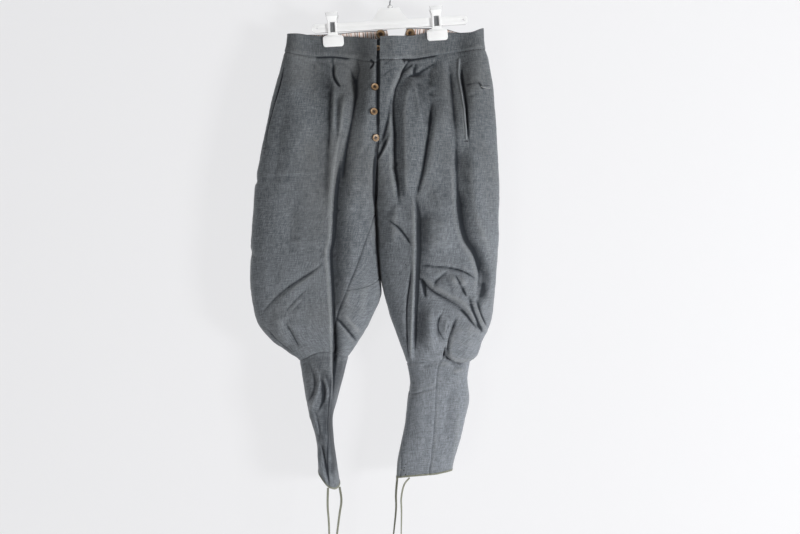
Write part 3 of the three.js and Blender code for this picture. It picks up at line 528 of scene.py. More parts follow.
# Ties: flat tape that hangs from the slit of each hem
tie = {
    "wide": 4.4,
    "thick": 1.1,
    "sides": 12,
    "steps": 7,
    "wideCurve": 0.7,  # below 1 the section is squarer than an ellipse
    "thickCurve": 0.6,
}
ties = {
    # name: the places it passes as x, y and drop, then its turn about itself in degrees at each end
    "tie_right_outer": (
        [(-120.8, -48.0, 1009.9), (-121.5, -48.5, 1044), (-119, -49, 1080), (-118, -49, 1128)], 8, 50),
    "tie_right_inner": (
        [(-99.8, -20, 1013.6), (-96, -22, 1040), (-100, -24, 1070), (-106, -25, 1118)], -10, 35),
    "tie_left_inner": (
        [(14.5, -6.6, 998.8), (12, -9, 1030), (12, -10, 1062), (6, -11, 1120)], 0, -60),
    "tie_left_outer": (
        [(39, -18.3, 995.8), (28, -20, 1010), (22.5, -21, 1036), (23, -22, 1064), (22, -22, 1132)], 30, 70),
}


def tapeSection(k):
    # a flat section with round edges
    angle = 2 * math.pi * k / tie["sides"]
    a, b = math.cos(angle), math.sin(angle)
    wide = math.copysign(abs(a) ** tie["wideCurve"], a) * tie["wide"] / 2
    thick = math.copysign(abs(b) ** tie["thickCurve"], b) * tie["thick"] / 2
    return wide, thick


for name, (route, startTurn, endTurn) in ties.items():
    path = smoothPath([(x, y, -drop) for x, y, drop in route], tie["steps"])
    points, uvs = [], []
    length = np.concatenate([[0], np.cumsum(np.linalg.norm(np.diff(path, axis=0), axis=1))])
    for i, middle in enumerate(path):
        ahead = path[min(i + 1, len(path) - 1)] - path[max(i - 1, 0)]
        ahead = Vector(ahead).normalized()
        share = length[i] / length[-1]
        turn = math.radians(startTurn + (endTurn - startTurn) * share)
        side = Vector((math.cos(turn), math.sin(turn), 0))
        side = (side - ahead * side.dot(ahead)).normalized()
        up = side.cross(ahead)
        for k in range(tie["sides"]):
            wide, thick = tapeSection(k)
            points.append(Vector(middle) + side * wide + up * thick)
            uvs.append((wide, length[i]))
    rows, sides = len(path), tie["sides"]
    faces = []
    for i in range(rows - 1):
        for k in range(sides):
            a, b = i * sides + k, i * sides + (k + 1) % sides
            faces.append([a, a + sides, b + sides, b])
    faces.append(list(range(sides)))
    faces.append(list(range((rows - 1) * sides, rows * sides))[::-1])
    piece = meshPiece("scene_" + name, points, faces, uvs)
    faceOutward(piece)
    smooth(piece, 60)
    finishPiece(piece, tape, "tape", name)
print("ties are made")


# Sizes of the garment, in mm; drop is the distance below the hang point
cloth = {
    "wall": 1.2,
    "band": 2.0,  # the waistband is double
    "mesh": 2.4,  # distance between points
    "seamGap": 0.3,
    "legGap": 0.8,
    "loopPower": 2.6,
    "bandTop": 112,
    "waist": 158,
    "hip": 260,
    "crotch": 468,
    "knee": 824,
    "gussetTop": 474,
    "gussetEnd": 629,
    "gussetLow": 630,
    "flyEnd": 300,
    "flyOpen": 3.4,
    "dip": 1.5,  # how far an edge sinks into its seam
    "dipReach": 2.0,
    "seamShade": 0.7,
    "foldsStart": 154,  # the folds begin just above the waist seam
    "foldsFull": 166,
}

rightRings = table("drop outer inner rear front back", [
    [90, -206, -24, -10, 22, 10],
    [112, -206, -24, -6, 23, 11],
    [150, -209, -24, 6, 28, 14],
    [180, -217, -24, 13.5, 33, 18],
    [240, -233, -24, 8, 42, 24],
    [330, -251, -24, -6, 49, 28],
    [420, -270, -26, -20, 52, 30],
    [468, -273, -28, -28, 53, 31],
    [540, -277.5, -24.5, -24.5, 54, 33],
    [595, -279, -20, -20, 56, 35],
    [625, -277, -16, -16, 56, 37],
    [645, -274, -20, -20, 56, 38],
    [680, -266, -36, -36, 55, 38],
    [718, -236, -57, -57, 50, 38],
    [740, -203, -71, -71, 47, 38],
    [757, -179, -82, -82, 44, 40],
    [800, -172, -94, -94, 52, 50],
    [844, -166, -106, -106, 56, 56],
    [884, -158, -116, -116, 57, 57],
    [924, -148, -112, -112, 54, 54],
    [964, -143, -106, -106, 50, 50],
    [1020, -142, -97, -97, 46, 46],
])
leftRings = table("drop outer inner rear front back", [
    [90, 187, -20, 38, 22, 10],
    [112, 188, -21, 33, 23, 11],
    [150, 190, -22, 21, 28, 14],
    [180, 197, -23, 14.5, 34, 18],
    [240, 207.5, -24, 8, 42, 24],
    [330, 214, -24, -6, 48, 28],
    [420, 218, -26, -20, 50, 30],
    [468, 217, -28, -28, 51, 31],
    [540, 216, -24.5, -24.5, 52, 33],
    [590, 213, -20, -20, 53, 34],
    [625, 210, -14, -14, 54, 35],
    [645, 208, -8, -8, 54, 36],
    [685, 202, 4, 4, 54, 37],
    [725, 184, 18, 18, 50, 36],
    [748, 171, 27, 27, 44, 35],
    [766, 161, 33, 33, 36, 33],
    [805, 154, 40, 40, 33, 32],
    [845, 158, 34, 34, 28, 28],
    [885, 150, 30, 30, 26, 26],
    [925, 142, 22, 22, 23, 23],
    [965, 129, 14, 14, 20, 20],
    [1010, 121, 11, 11, 18, 18],
])
centreLine = table("drop front back", [
    [90, 22, 10],
    [112, 23, 11],
    [180, 32, 17],
    [260, 39, 22],
    [340, 35, 20],
    [400, 23, 14],
    [440, 10, 7],
    [468, 0, 0],
])
rightEdges = table("across top waist calf knee hem backTop backWaist backCalf backHem", [
    [0, 128, 174, 757, 824, 1013, 102, 165, 757, 1013],
    [0.15, 122, 168, 755, 824, 1015, 104, 165, 760, 1013],
    [0.3, 118, 161, 746, 824, 1013, 107, 162, 764, 1010],
    [0.5, 117, 157, 744, 824, 1009, 111, 158, 768, 1004],
    [0.7, 116, 158, 749, 824, 999, 113, 156, 768, 998],
    [0.85, 114, 156, 757, 824, 991, 113, 152, 766, 991],
    [1, 113, 149, 764, 824, 984, 113, 149, 764, 984],
])
leftEdges = table("across top waist calf knee hem backTop backWaist backCalf backHem", [
    [0, 121, 168, 768, 832, 999, 100, 160, 768, 999],
    [0.15, 120, 167, 766, 826, 996, 100, 158, 770, 998],
    [0.3, 117, 163, 765, 820, 994, 100, 156, 772, 996],
    [0.5, 109, 156, 763, 816, 992, 102, 153, 772, 993],
    [0.7, 110, 150, 765, 816, 990, 109, 150, 770, 990],
    [0.85, 111, 147, 772, 816, 987, 108, 147, 768, 987],
    [1, 101, 144, 766, 816, 984, 101, 144, 766, 984],
])
rightInseamLine = table("drop x", [
    [468, -28],
    [510, -44],
    [558, -60],
    [634, -86],
    [690, -103],
    [757, -112],
    [844, -119],
    [924, -122],
    [1020, -119],
])
leftSideLine = table("drop x", [
    [610, 205],
    [640, 168],
    [668, 132],
    [700, 119],
    [734, 114],
    [757, 106],
    [780, 94],
    [912, 86],
    [1010, 75],
])
leftInseamLine = table("drop place", [
    [468, 0],
    [558, -0.05],
    [850, -0.05],
    [960, 0.12],
])
gussetLine = table("drop place", [
    [468, 2],
    [555, 1.9],
    [592, 2],
    [612, 2.13],
    [629, 2.302],
])
jaws = {
    "frontDepth": 2.4,
    "backDepth": 3.8,
    "x": (-113, 94.5),
    "drop": (127, 114.5),
    "flat": 36,
    "reach": 88,
    "flatDrop": 145,
    "endDrop": 310,
}
sideTurn = {
    # the side seams run up the outer fold; below, the right one turns behind and the left one to the front
    "rightShare": 0.3,
    "rightStart": 757,
    "rightEnd": 860,
    "leftStart": 560,
    "leftEnd": 610,
    "leftX": 205,
}
legs = {
    "right": {"side": -1, "rings": rightRings, "edges": rightEdges, "calf": 757, "hem": 1004},
    "left": {"side": 1, "rings": leftRings, "edges": leftEdges, "calf": 766, "hem": 993},
}


# The garment's surface, from a ring place and a nominal drop
def pinch(x, drop):
    along = 1 - ease(drop, jaws["flatDrop"], jaws["endDrop"])
    near = [1 - ease(np.abs(x - at), jaws["flat"], jaws["reach"]) for at in jaws["x"]]
    return np.maximum(near[0], near[1]) * along


def halfRing(leg, drop, face):
    # from the inner end to the outer: x, y, the share across, and the length so far
    side, rings = leg["side"], leg["rings"]
    gap = cloth["seamGap"] if drop < cloth["crotch"] else cloth["legGap"]
    inner = columnAt(rings, "inner" if face == "front" else "rear", drop) + side * gap / 2
    outer = columnAt(rings, "outer", drop)
    depth = columnAt(rings, face, drop)
    centre = columnAt(centreLine, face, drop)
    w = -np.cos(np.linspace(0, math.pi, 97))
    across = (1 + w) / 2
    x = inner + (outer - inner) * across
    power = cloth["loopPower"]
    bulge = np.clip(1 - np.abs(w) ** power, 0, None) ** (1 / power)
    off = np.where(w < 0, centre + (depth - centre) * bulge, depth * bulge)
    held = np.minimum(off, jaws[face + "Depth"])
    off = off + (held - off) * pinch(x, drop)
    y = -off if face == "front" else off
    length = np.concatenate([[0], np.cumsum(np.hypot(np.diff(x), np.diff(y)))])
    return x, y, across, length


ringCache = {}


def ring(leg, drop):
    key = (leg["side"], round(float(drop), 2))
    if key not in ringCache:
        ringCache[key] = {face: halfRing(leg, drop, face) for face in ("front", "back")}
    return ringCache[key]


def placeAt(leg, drop, x, face="front"):
    # the ring place at x: 0 at the inner end, 1 at the outer, then 1 to 2 back behind
    xs, _, _, length = ring(leg, drop)[face]
    share = length / length[-1]
    order = np.argsort(xs)
    found = float(np.interp(x, xs[order], share[order]))
    return found if face == "front" else 2 - found


def trueDrop(leg, across, drop, face):
    edges = leg["edges"]

    def edge(name):
        return columnAt(edges, name, across, "across")

    front = face == "front"
    kneeDrop = edge("knee") if front else np.full_like(across, cloth["knee"])
    lines = [
        (cloth["bandTop"], edge("top" if front else "backTop")),
        (cloth["waist"], edge("waist" if front else "backWaist")),
        (cloth["hip"], np.full_like(across, cloth["hip"])),
        (cloth["crotch"], np.full_like(across, cloth["crotch"])),
        (leg["calf"], edge("calf" if front else "backCalf")),
        (cloth["knee"], kneeDrop),
        (leg["hem"], edge("hem" if front else "backHem")),
    ]
    i = 0
    while i < len(lines) - 2 and lines[i + 1][0] < drop:
        i += 1
    t = (drop - lines[i][0]) / (lines[i + 1][0] - lines[i][0])
    return lines[i][1] + (lines[i + 1][1] - lines[i][1]) * t


def onRing(places):
    # places past 2 are the front again, but 2 itself is the inner end of the back
    return np.where(np.abs(places - 2) < 1e-9, 2.0, np.mod(places, 2.0))


def bareGrid(leg, places, drops):
    # points of the bare surface in mm, for rows of ring places
    points = np.zeros(places.shape + (3,))
    for r, drop in enumerate(drops):
        turned = onRing(places[r])
        for face in ("front", "back"):
            here = turned <= 1 if face == "front" else turned > 1
            if not here.any():
                continue
            x, y, across, length = ring(leg, drop)[face]
            share = turned[here] if face == "front" else 2 - turned[here]
            total = length / length[-1]
            found = np.interp(share, total, across)
            points[r, here, 0] = np.interp(share, total, x)
            points[r, here, 1] = np.interp(share, total, y)
            points[r, here, 2] = -trueDrop(leg, found, drop, face)
    return points


def gridNormals(points, side):
    acrossStep = np.gradient(points, axis=1)
    downStep = np.gradient(points, axis=0)
    normals = np.cross(acrossStep, downStep) * -side
    return normals / np.maximum(np.linalg.norm(normals, axis=2, keepdims=True), 1e-9)


def seamPlaces():
    right, left = legs["right"], legs["left"]
    crotch = cloth["crotch"]

    def rightInseam(drop):
        if drop <= crotch:
            return 0.0
        return placeAt(right, drop, columnAt(rightInseamLine, "x", drop))

    def leftInseam(drop):
        return float(columnAt(leftInseamLine, "place", drop))

    def rightSide(drop):
        return float(1 + sideTurn["rightShare"] * ease(drop, sideTurn["rightStart"], sideTurn["rightEnd"]))

    def leftSide(drop):
        start, end = sideTurn["leftStart"], sideTurn["leftEnd"]
        if drop <= start:
            return 1.0
        if drop < end:
            return 1 + (placeAt(left, end, sideTurn["leftX"]) - 1) * (drop - start) / (end - start)
        return placeAt(left, drop, columnAt(leftSideLine, "x", drop))

    def gussetEdge(drop):
        end = 2 + rightInseam(drop)
        if drop >= cloth["gussetEnd"]:
            return end
        return min(float(columnAt(gussetLine, "place", drop)), end)

    def fly(leg):
        def edge(drop):
            if drop > cloth["flyEnd"]:
                return 0.0
            return cloth["flyOpen"] / 2 / ring(leg, drop)["front"][3][-1]
        return edge

    rightFly, leftFly = fly(right), fly(left)
    return {
        "rightFront": (lambda d: rightFly(d) + rightInseam(d), rightSide),
        "leftFront": (lambda d: leftFly(d) + leftInseam(d), leftSide),
        "rightBack": (rightSide, gussetEdge),
        "leftBack": (leftSide, lambda d: 2 + leftInseam(d)),
        "gusset": (gussetEdge, lambda d: 2 + rightInseam(d)),
    }


seams = seamPlaces()


# Folds. Each is drawn through places at (x, drop), then says how far it rises out of the
# cloth, how far it reaches to the left and right of its own way, and how square its section is
frontFolds = [
    # the wearer's right thigh, below the waistband: two pleats with a roll between them
    ([(-115, 120), (-113, 180), (-110, 202), (-94, 230)], -6, 9, 2.4, 1.05),
    ([(-121, 170), (-122, 240), (-123, 320), (-125, 400), (-125, 460)], -5, 28, 7, 1.8),
    ([(-110, 200), (-110, 260), (-110, 330)], 2, 5, 6, 1.8),
    ([(-103, 232), (-104, 290), (-103, 330)], -2, 4, 3, 1.4),
    ([(-90, 232), (-93, 280), (-97, 320)], 5, 7, 8, 1.6),
    ([(-76, 120), (-71, 196), (-69, 232), (-72, 262), (-76, 294), (-82, 326), (-88, 362), (-93, 410)],
     -11, 6, 12, 1.3),
    ([(-44, 190), (-42, 240), (-46, 300), (-58, 360)], 5, 14, 16, 1.8),
    ([(-168, 170), (-176, 260), (-186, 380)], 5, 34, 30, 2),
    ([(-152, 160), (-150, 186)], -2, 4, 4, 1.3),
    # the long crease of that leg and the hollow beside it
    ([(-97, 300), (-100, 334), (-106, 366), (-112, 410), (-115, 450), (-116, 500), (-119, 528), (-124, 548),
      (-122, 580), (-118, 640), (-116, 700), (-115, 760), (-115, 806), (-118, 850),
      (-120, 884)], 5, 60, 2.4, 1.3),
    ([(-91, 330), (-96, 366), (-103, 410), (-107, 450), (-109, 500), (-112, 528), (-116, 548), (-115, 580),
      (-111, 640), (-109, 700), (-108, 760), (-109, 806), (-111, 850)], -9, 3, 20, 1.5),
    ([(-64, 360), (-72, 440), (-76, 520), (-78, 600), (-80, 680)], 9, 17, 30, 1.8),
    ([(-109, 676), (-106, 720), (-105, 780)], -8, 2.5, 5, 1.4),
    ([(-62, 470), (-66, 540), (-72, 620)], 4, 18, 14, 2),
    # the centre front
    ([(-29, 350), (-29, 400), (-31, 470)], -6, 6, 4, 1.3),
    ([(6, 306), (-7, 342), (-24, 369)], 4.5, 3, 6, 1.3),
    ([(4, 226), (0, 268), (-9, 310), (-20, 350)], -4, 4, 3, 1.2),
    ([(-6, 326), (-16, 350), (-25, 368)], -4, 3, 3, 1.3),
    ([(48, 140), (26, 200), (10, 232), (6, 268), (8, 310), (8, 350), (9, 384), (13, 414),
      (16, 460)], -11, 4, 12, 1.2),
    ([(52, 190), (34, 232), (29, 268), (30, 310), (31, 350), (32, 400), (34, 450)], 12, 11, 34, 1.9),
    ([(0, 388), (20, 370)], -2.4, 4, 4, 1.3),
    ([(-5, 484), (16, 500), (32, 520), (43, 538)], -3.4, 4, 6, 1.2),
    ([(12, 450), (10, 500), (8, 540)], 4, 12, 12, 2),
    # the wearer's left thigh, below the waistband
    ([(100, 148), (84, 169), (62, 189), (30, 203)], -9, 3, 8, 1.05),
    ([(57, 156), (52, 176), (49, 200)], -6, 3, 3, 1.1),
    ([(44, 162), (35, 180), (22, 204)], -6, 3, 5, 1.1),
    ([(37, 198), (43, 220), (52, 252), (59, 282), (62, 310)], 6, 8, 12, 1.4),
    ([(78, 180), (79, 225)], -4, 10, 10, 1.5),
    ([(102, 164), (108, 240), (106, 330)], 6, 22, 18, 2),
    ([(84, 236), (79, 300), (71, 350), (65, 386), (57, 422), (49, 450)], -8, 13, 5, 1.4),
    ([(96, 250), (92, 310), (86, 360), (80, 410)], 5, 14, 24, 1.8),
    ([(74, 236), (86, 238)], -1.6, 3, 3, 1.5),
    ([(86, 248), (120, 249)], -1.6, 3, 3, 1.5),
    # the long crease of that leg and the hollows beside it
    ([(42, 420), (47, 460), (49.5, 500), (49.5, 540), (48, 580), (46, 640), (43, 706), (43, 760),
      (46, 790)], 4, 12, 2.4, 1.3),
    ([(45, 566), (39, 610), (33, 657), (34, 724), (40, 766)], -3, 3, 6, 1.2),
    ([(52, 440), (55, 480), (56, 540), (54, 600), (51, 660), (48, 720), (49, 770)], -7.5, 3, 22, 1.6),
    ([(80, 470), (84, 520), (84, 560)], 8, 15, 34, 1.8),
    ([(78, 640), (76, 700), (74, 750)], 6, 13, 24, 1.8),
    ([(96, 420), (102, 500), (106, 556)], 6, 24, 22, 2),
    # beside and below its pocket
    ([(118, 160), (124, 250), (131, 330)], -9, 12, 7, 1.2),
    ([(130, 310), (131, 360), (132, 400), (134, 440), (138, 486), (148, 522), (163, 545), (172, 566),
      (178, 588), (176, 606), (170, 634)], -12, 6, 20, 1.6),
    ([(160, 330), (163, 392), (165, 440), (172, 486), (186, 530), (200, 570)], 13, 17, 24, 1.9),
    ([(150, 240), (178, 236)], -2, 3, 3, 1.4),
    # the pocket openings
    ([(143, 158), (140.5, 194), (144.5, 228), (149, 262), (151.5, 296), (154, 336)], -8, 1.8, 8, 1.1),
    ([(-208, 166), (-216, 212), (-228, 254), (-240, 298), (-246, 346)], -2.4, 3, 1.6, 1.1),
    # the crumple above that knee
    ([(60, 574), (90, 577), (113, 579), (137, 584), (153, 591), (176, 606)], -3, 7, 2.4, 1.1),
    ([(116, 583), (101, 596), (89, 608), (84, 622)], -4.5, 4, 9, 1.15),
    ([(112, 606), (130, 604), (152, 616)], 6, 14, 10, 1.7),
    ([(124, 588), (134, 605), (142, 620), (152, 638)], -3.4, 6, 2.6, 1.1),
    ([(62, 594), (66, 612), (70, 640)], -4, 3, 5, 1.3),
    ([(50, 588), (64, 600), (84, 618), (112, 634), (134, 647), (152, 663), (166, 682),
      (186, 706)], 8, 3, 16, 1.3),
    ([(54, 597), (68, 610), (86, 626), (113, 641), (133, 654), (149, 670), (162, 688),
      (182, 714)], -3, 6, 2.4, 1.1),
    ([(160, 628), (166, 652), (178, 680), (196, 712)], 5, 4, 2.8, 1.2),
    ([(154, 630), (160, 656), (171, 684), (186, 710)], -5, 6, 4, 1.4),
    ([(168, 636), (174, 660), (183, 684), (196, 704)], -2.8, 2.4, 6, 1.15),
    # the bag over that calf
    ([(131, 668), (128, 684), (121, 704), (115, 726), (113, 764)], -5, 8, 2.8, 1.1),
    ([(110, 730), (104, 760)], -6, 3, 3, 1.1),
    ([(102, 664), (95, 684), (94, 706), (100, 726)], -5, 5, 9, 1.25),
    ([(112, 676), (108, 700), (106, 716)], 3, 4, 4, 1.3),
    ([(80, 650), (82, 720), (84, 752)], 5, 12, 9, 2),
    ([(152, 684), (150, 716), (144, 744)], 5, 28, 22, 2),
    ([(104, 736), (114, 750), (129, 759), (146, 761), (163, 752), (184, 728)], 10, 3, 12, 1.2),
    ([(104, 746), (113, 758), (129, 768), (148, 771), (166, 761), (188, 736)], -11, 8, 3, 1.1),
    ([(121, 787), (136, 782), (149, 779)], 3, 4, 5, 1.4),
    # the bag over the other calf
    ([(-122, 564), (-147, 585), (-174, 602), (-200, 619), (-227, 642), (-247, 664),
      (-262, 688)], -2.4, 9, 4, 1.3),
    ([(-134, 580), (-160, 600), (-188, 620), (-214, 642)], 2.6, 5, 12, 1.8),
    ([(-152, 614), (-184, 643), (-210, 674)], -2.4, 4, 4, 1.2),
    ([(-168, 642), (-194, 668)], -1.6, 4, 4, 1.3),
    ([(-206, 680), (-188, 716), (-174, 744)], -4, 16, 3, 1.15),
    ([(-222, 664), (-214, 696), (-196, 724)], 4, 12, 10, 2),
    ([(-212, 683), (-186, 684)], -1.2, 3, 4, 1.4),
    ([(-248, 690), (-231, 716), (-206, 738), (-184, 750)], -3.6, 3, 6, 1.2),
    ([(-262, 394), (-190, 395), (-134, 390)], 0.9, 4, 4, 1.4),
    ([(-262, 402), (-190, 402), (-140, 398)], -0.8, 4, 4, 1.4),
    ([(-216, 532), (-156, 528), (-126, 525)], 1, 5, 5, 1.5),
    ([(-204, 517), (-180, 520)], -0.6, 4, 4, 1.6),
    ([(-138, 536), (-128, 562)], -1.4, 14, 5, 1.8),
    ([(-278, 396), (-262, 414)], -4, 6, 6, 1.5),
    ([(-284, 540), (-266, 566)], -4, 6, 7, 1.5),
    ([(-236, 200), (-246, 300), (-258, 390)], 3, 12, 12, 2),
    ([(-204, 240), (-218, 330), (-230, 440)], -4, 18, 16, 1.6),
    ([(-180, 430), (-192, 500), (-200, 560)], -3, 18, 18, 1.8),
    # the inner side of that knee
    ([(-106, 674), (-84, 700), (-58, 732)], -4, 3, 12, 1.15),
    ([(-92, 668), (-72, 694), (-58, 716)], 3.5, 5, 9, 1.6),
    ([(-46, 560), (-52, 640), (-66, 700)], 5, 14, 14, 2),
    ([(-38, 480), (-42, 540)], 3, 9, 9, 2),
    # the twisted right calf
    ([(-160, 760), (-150, 784), (-146, 806), (-151, 828), (-168, 852)], -2.6, 7, 4, 1.3),
    ([(-146, 770), (-138, 796), (-140, 820), (-150, 846), (-160, 886)], 4, 4, 7, 1.4),
    ([(-136, 790), (-129, 816), (-131, 840), (-142, 866)], -2.8, 3, 3, 1.1),
    ([(-130, 784), (-123, 816), (-124, 850)], 4, 4, 4, 1.4),
    ([(-150, 850), (-141, 876), (-138, 900), (-142, 930)], -3.5, 4.5, 8, 1.2),
    ([(-136, 916), (-125, 972), (-117, 1008)], -4, 3, 6, 1.15),
    ([(-142, 930), (-132, 972), (-123, 1004)], 4, 5, 3, 1.4),
    ([(-124, 884), (-120, 930), (-112, 980)], 3, 7, 6, 1.8),
    # the left calf
    ([(126, 796), (115, 862), (107, 930)], -3.4, 13, 10, 1.6),
    ([(58, 800), (60, 900), (50, 970)], 2, 12, 12, 2),
    ([(138, 850), (130, 930), (118, 985)], 3, 8, 8, 1.8),
    ([(60, 776), (88, 768)], -2, 3, 4, 1.4),
    ([(80, 862), (64, 900)], -1.2, 8, 6, 1.6),
]
backFolds = [
    ([(-62, 166), (-64, 214), (-70, 276)], -4.3, 8, 7, 2),
    ([(-148, 166), (-150, 236), (-160, 350)], -4.9, 12, 10, 2),
    ([(-108, 170), (-112, 250), (-120, 330)], 3.8, 16, 14, 2),
    ([(70, 164), (72, 230), (80, 330)], -4.9, 9, 8, 2),
    ([(142, 166), (148, 220), (152, 290)], -4.3, 12, 10, 2),
    ([(106, 180), (112, 260), (112, 340)], 3.8, 15, 14, 2),
    ([(-34, 250), (-38, 330), (-40, 430)], -3.8, 12, 14, 2),
    ([(28, 230), (26, 320), (24, 420)], -3.5, 12, 12, 2),
    # drawn towards the crotch
    ([(-36, 420), (-66, 408), (-104, 380), (-138, 340)], -4.3, 12, 8, 2),
    ([(-40, 452), (-76, 450), (-118, 436)], 3.5, 10, 9, 2),
    ([(2, 430), (34, 416), (70, 382), (92, 350)], -4.3, 8, 12, 2),
    ([(6, 470), (46, 468), (86, 448)], 3.5, 9, 10, 2),
    # long soft hollows down the thighs
    ([(-122, 380), (-132, 470), (-138, 570), (-132, 660)], 5.8, 26, 16, 2),
    ([(-98, 470), (-106, 560), (-112, 660), (-112, 740)], -5.8, 12, 14, 1.8),
    ([(-66, 500), (-66, 580), (-80, 690)], 4.3, 14, 14, 2),
    ([(94, 380), (102, 470), (102, 560), (92, 640)], 5.8, 16, 24, 2),
    ([(74, 470), (84, 560), (82, 660), (74, 744)], -5.8, 14, 12, 1.8),
    ([(38, 540), (46, 620), (54, 700)], 4.3, 13, 13, 2),
    ([(-196, 280), (-210, 400), (-224, 520), (-226, 590)], -5.2, 20, 18, 2),
    ([(-244, 340), (-258, 460), (-262, 540)], 3.8, 12, 10, 2),
    ([(158, 300), (166, 400), (176, 500), (176, 580)], -5.2, 17, 18, 2),
    # the fullness above the calves
    ([(-150, 574), (-186, 598), (-226, 636), (-250, 672)], -4.9, 12, 6, 1.7),
    ([(-164, 628), (-196, 660), (-218, 700)], 4.3, 11, 10, 2),
    ([(-134, 650), (-160, 690), (-180, 740)], -4.3, 10, 8, 2),
    ([(-206, 690), (-190, 722), (-178, 748)], -3.5, 7, 7, 2),
    ([(118, 560), (146, 590), (180, 612), (202, 634)], -5.2, 6, 12, 1.7),
    ([(126, 622), (152, 650), (176, 690)], 4.3, 10, 11, 2),
    ([(104, 650), (126, 690), (146, 738)], -4.3, 9, 10, 2),
    ([(170, 684), (164, 714), (152, 742)], -3.5, 7, 7, 2),
    ([(-148, 770), (-140, 830), (-126, 900)], -3.8, 10, 9, 2),
    ([(-122, 800), (-126, 870), (-120, 950)], 3.5, 8, 8, 2),
    ([(72, 790), (84, 860), (84, 940)], -2.9, 13, 12, 2),
    ([(122, 800), (118, 880), (104, 960)], 2.9, 11, 10, 2),
    ([(-234, 476), (-190, 484), (-158, 482)], 1.3, 6, 5, 1.8),
    ([(138, 478), (170, 470), (198, 472)], 1.3, 5, 6, 1.8),
]


# thin creases of the front, sunk into the cloth and painted dark as shade: the way each runs, then how strong
# it is
frontLines = [
    ([(-115, 156), (-113, 180), (-111, 200), (-104, 212), (-96, 224)], 1.2),
    ([(-115, 204), (-117, 250), (-118, 310), (-120, 350)], 0.6),
    ([(-100, 236), (-99, 280), (-101, 330)], 0.4),
    ([(2, 234), (-2, 276), (-12, 314), (-24, 348)], 0.6),
    ([(-6, 326), (-16, 350), (-25, 368)], 0.9),
    ([(49, 171), (40, 181), (31, 191), (20, 214)], 1.2),
    ([(92, 169), (80, 176), (60, 188), (38, 200)], 1.4),
    ([(54, 169), (52, 181), (49, 193)], 1.3),
    ([(28, 162), (29, 168), (31, 176)], 1.0),
    ([(38, 199), (44, 214), (50, 232)], 0.4),
    ([(-16, 204), (-4, 194), (7, 188), (20, 190)], 0.6),
    ([(75, 320), (70, 356), (63, 392), (53, 438)], 0.6),
    ([(143, 180), (141, 200), (145, 232), (149, 262), (152, 296), (155, 332)], 1.6),
    ([(-208, 176), (-216, 212), (-228, 254), (-240, 298), (-246, 340)], 1.0),
    ([(-40, 166), (-34, 173), (-34, 179), (-40, 187)], 1.8),
    ([(150, 217), (163, 216), (176, 213)], 0.7),
    ([(176, 212), (179, 220), (186, 227)], 1.2),
    ([(-14, 180), (2, 170), (12, 166)], 0.5),
    ([(60, 575), (90, 577), (113, 579), (137, 584), (153, 591), (174, 604)], 0.6),
    ([(127, 592), (135, 606), (143, 622), (151, 636)], 0.6),
    ([(62, 604), (67, 620), (70, 638)], 0.5),
    ([(56, 599), (69, 610), (86, 626), (113, 641), (133, 654), (150, 670), (163, 688), (180, 710)], 0.35),
    ([(168, 638), (173, 656), (179, 674), (189, 694)], 0.45),
    ([(154, 638), (159, 634), (163, 639)], 0.3),
    ([(146, 612), (145, 626), (151, 636)], 0.55),
    ([(172, 690), (182, 706)], 0.5),
    ([(104, 666), (95, 684), (95, 700), (103, 716), (110, 724)], 0.6),
    ([(116, 690), (110, 704), (104, 712)], 0.5),
    ([(100, 668), (112, 674), (126, 680)], 0.4),
    ([(130, 672), (128, 686), (121, 704), (115, 724), (114, 756)], 0.5),
    ([(109, 738), (105, 756)], 0.5),
    ([(114, 758), (130, 768), (150, 771), (168, 762), (184, 745)], 0.5),
    ([(-126, 568), (-147, 585), (-174, 602), (-200, 619), (-227, 642), (-250, 668)], 0.25),
    ([(-206, 684), (-190, 714), (-176, 738)], 0.4),
    ([(-108, 676), (-86, 699), (-62, 729)], 0.6),
    ([(-110, 640), (-108, 690), (-107, 740), (-109, 800)], 1.4),
    ([(52, 470), (54, 540), (52, 600), (50, 680), (48, 760)], 0.6),
    ([(45, 566), (39, 610), (33, 657), (34, 724), (40, 766)], 0.8),
    ([(-4, 484), (16, 500), (32, 520), (43, 538)], 0.5),
    ([(-150, 784), (-146, 806), (-152, 828), (-162, 844)], 0.15),
    ([(-133, 812), (-129, 826), (-132, 842)], 0.4),
    ([(-143, 872), (-138, 894), (-142, 912)], 0.25),
    ([(-134, 922), (-124, 974), (-117, 1004)], 0.6),
    ([(-252, 690), (-232, 716), (-206, 739), (-184, 751)], 0.5),
    # ridges beside the long creases, raised and painted paler as a highlight
    ([(-100, 320), (-105, 356), (-111, 400), (-115, 450), (-117, 500), (-120, 530)], -0.6),
    ([(-121, 560), (-118, 640), (-116, 700), (-115, 800)], -0.6),
    ([(47, 560), (46, 620), (43, 700), (42, 760)], -0.5),
    ([(-96, 240), (-97, 300), (-101, 340)], -0.3),
]
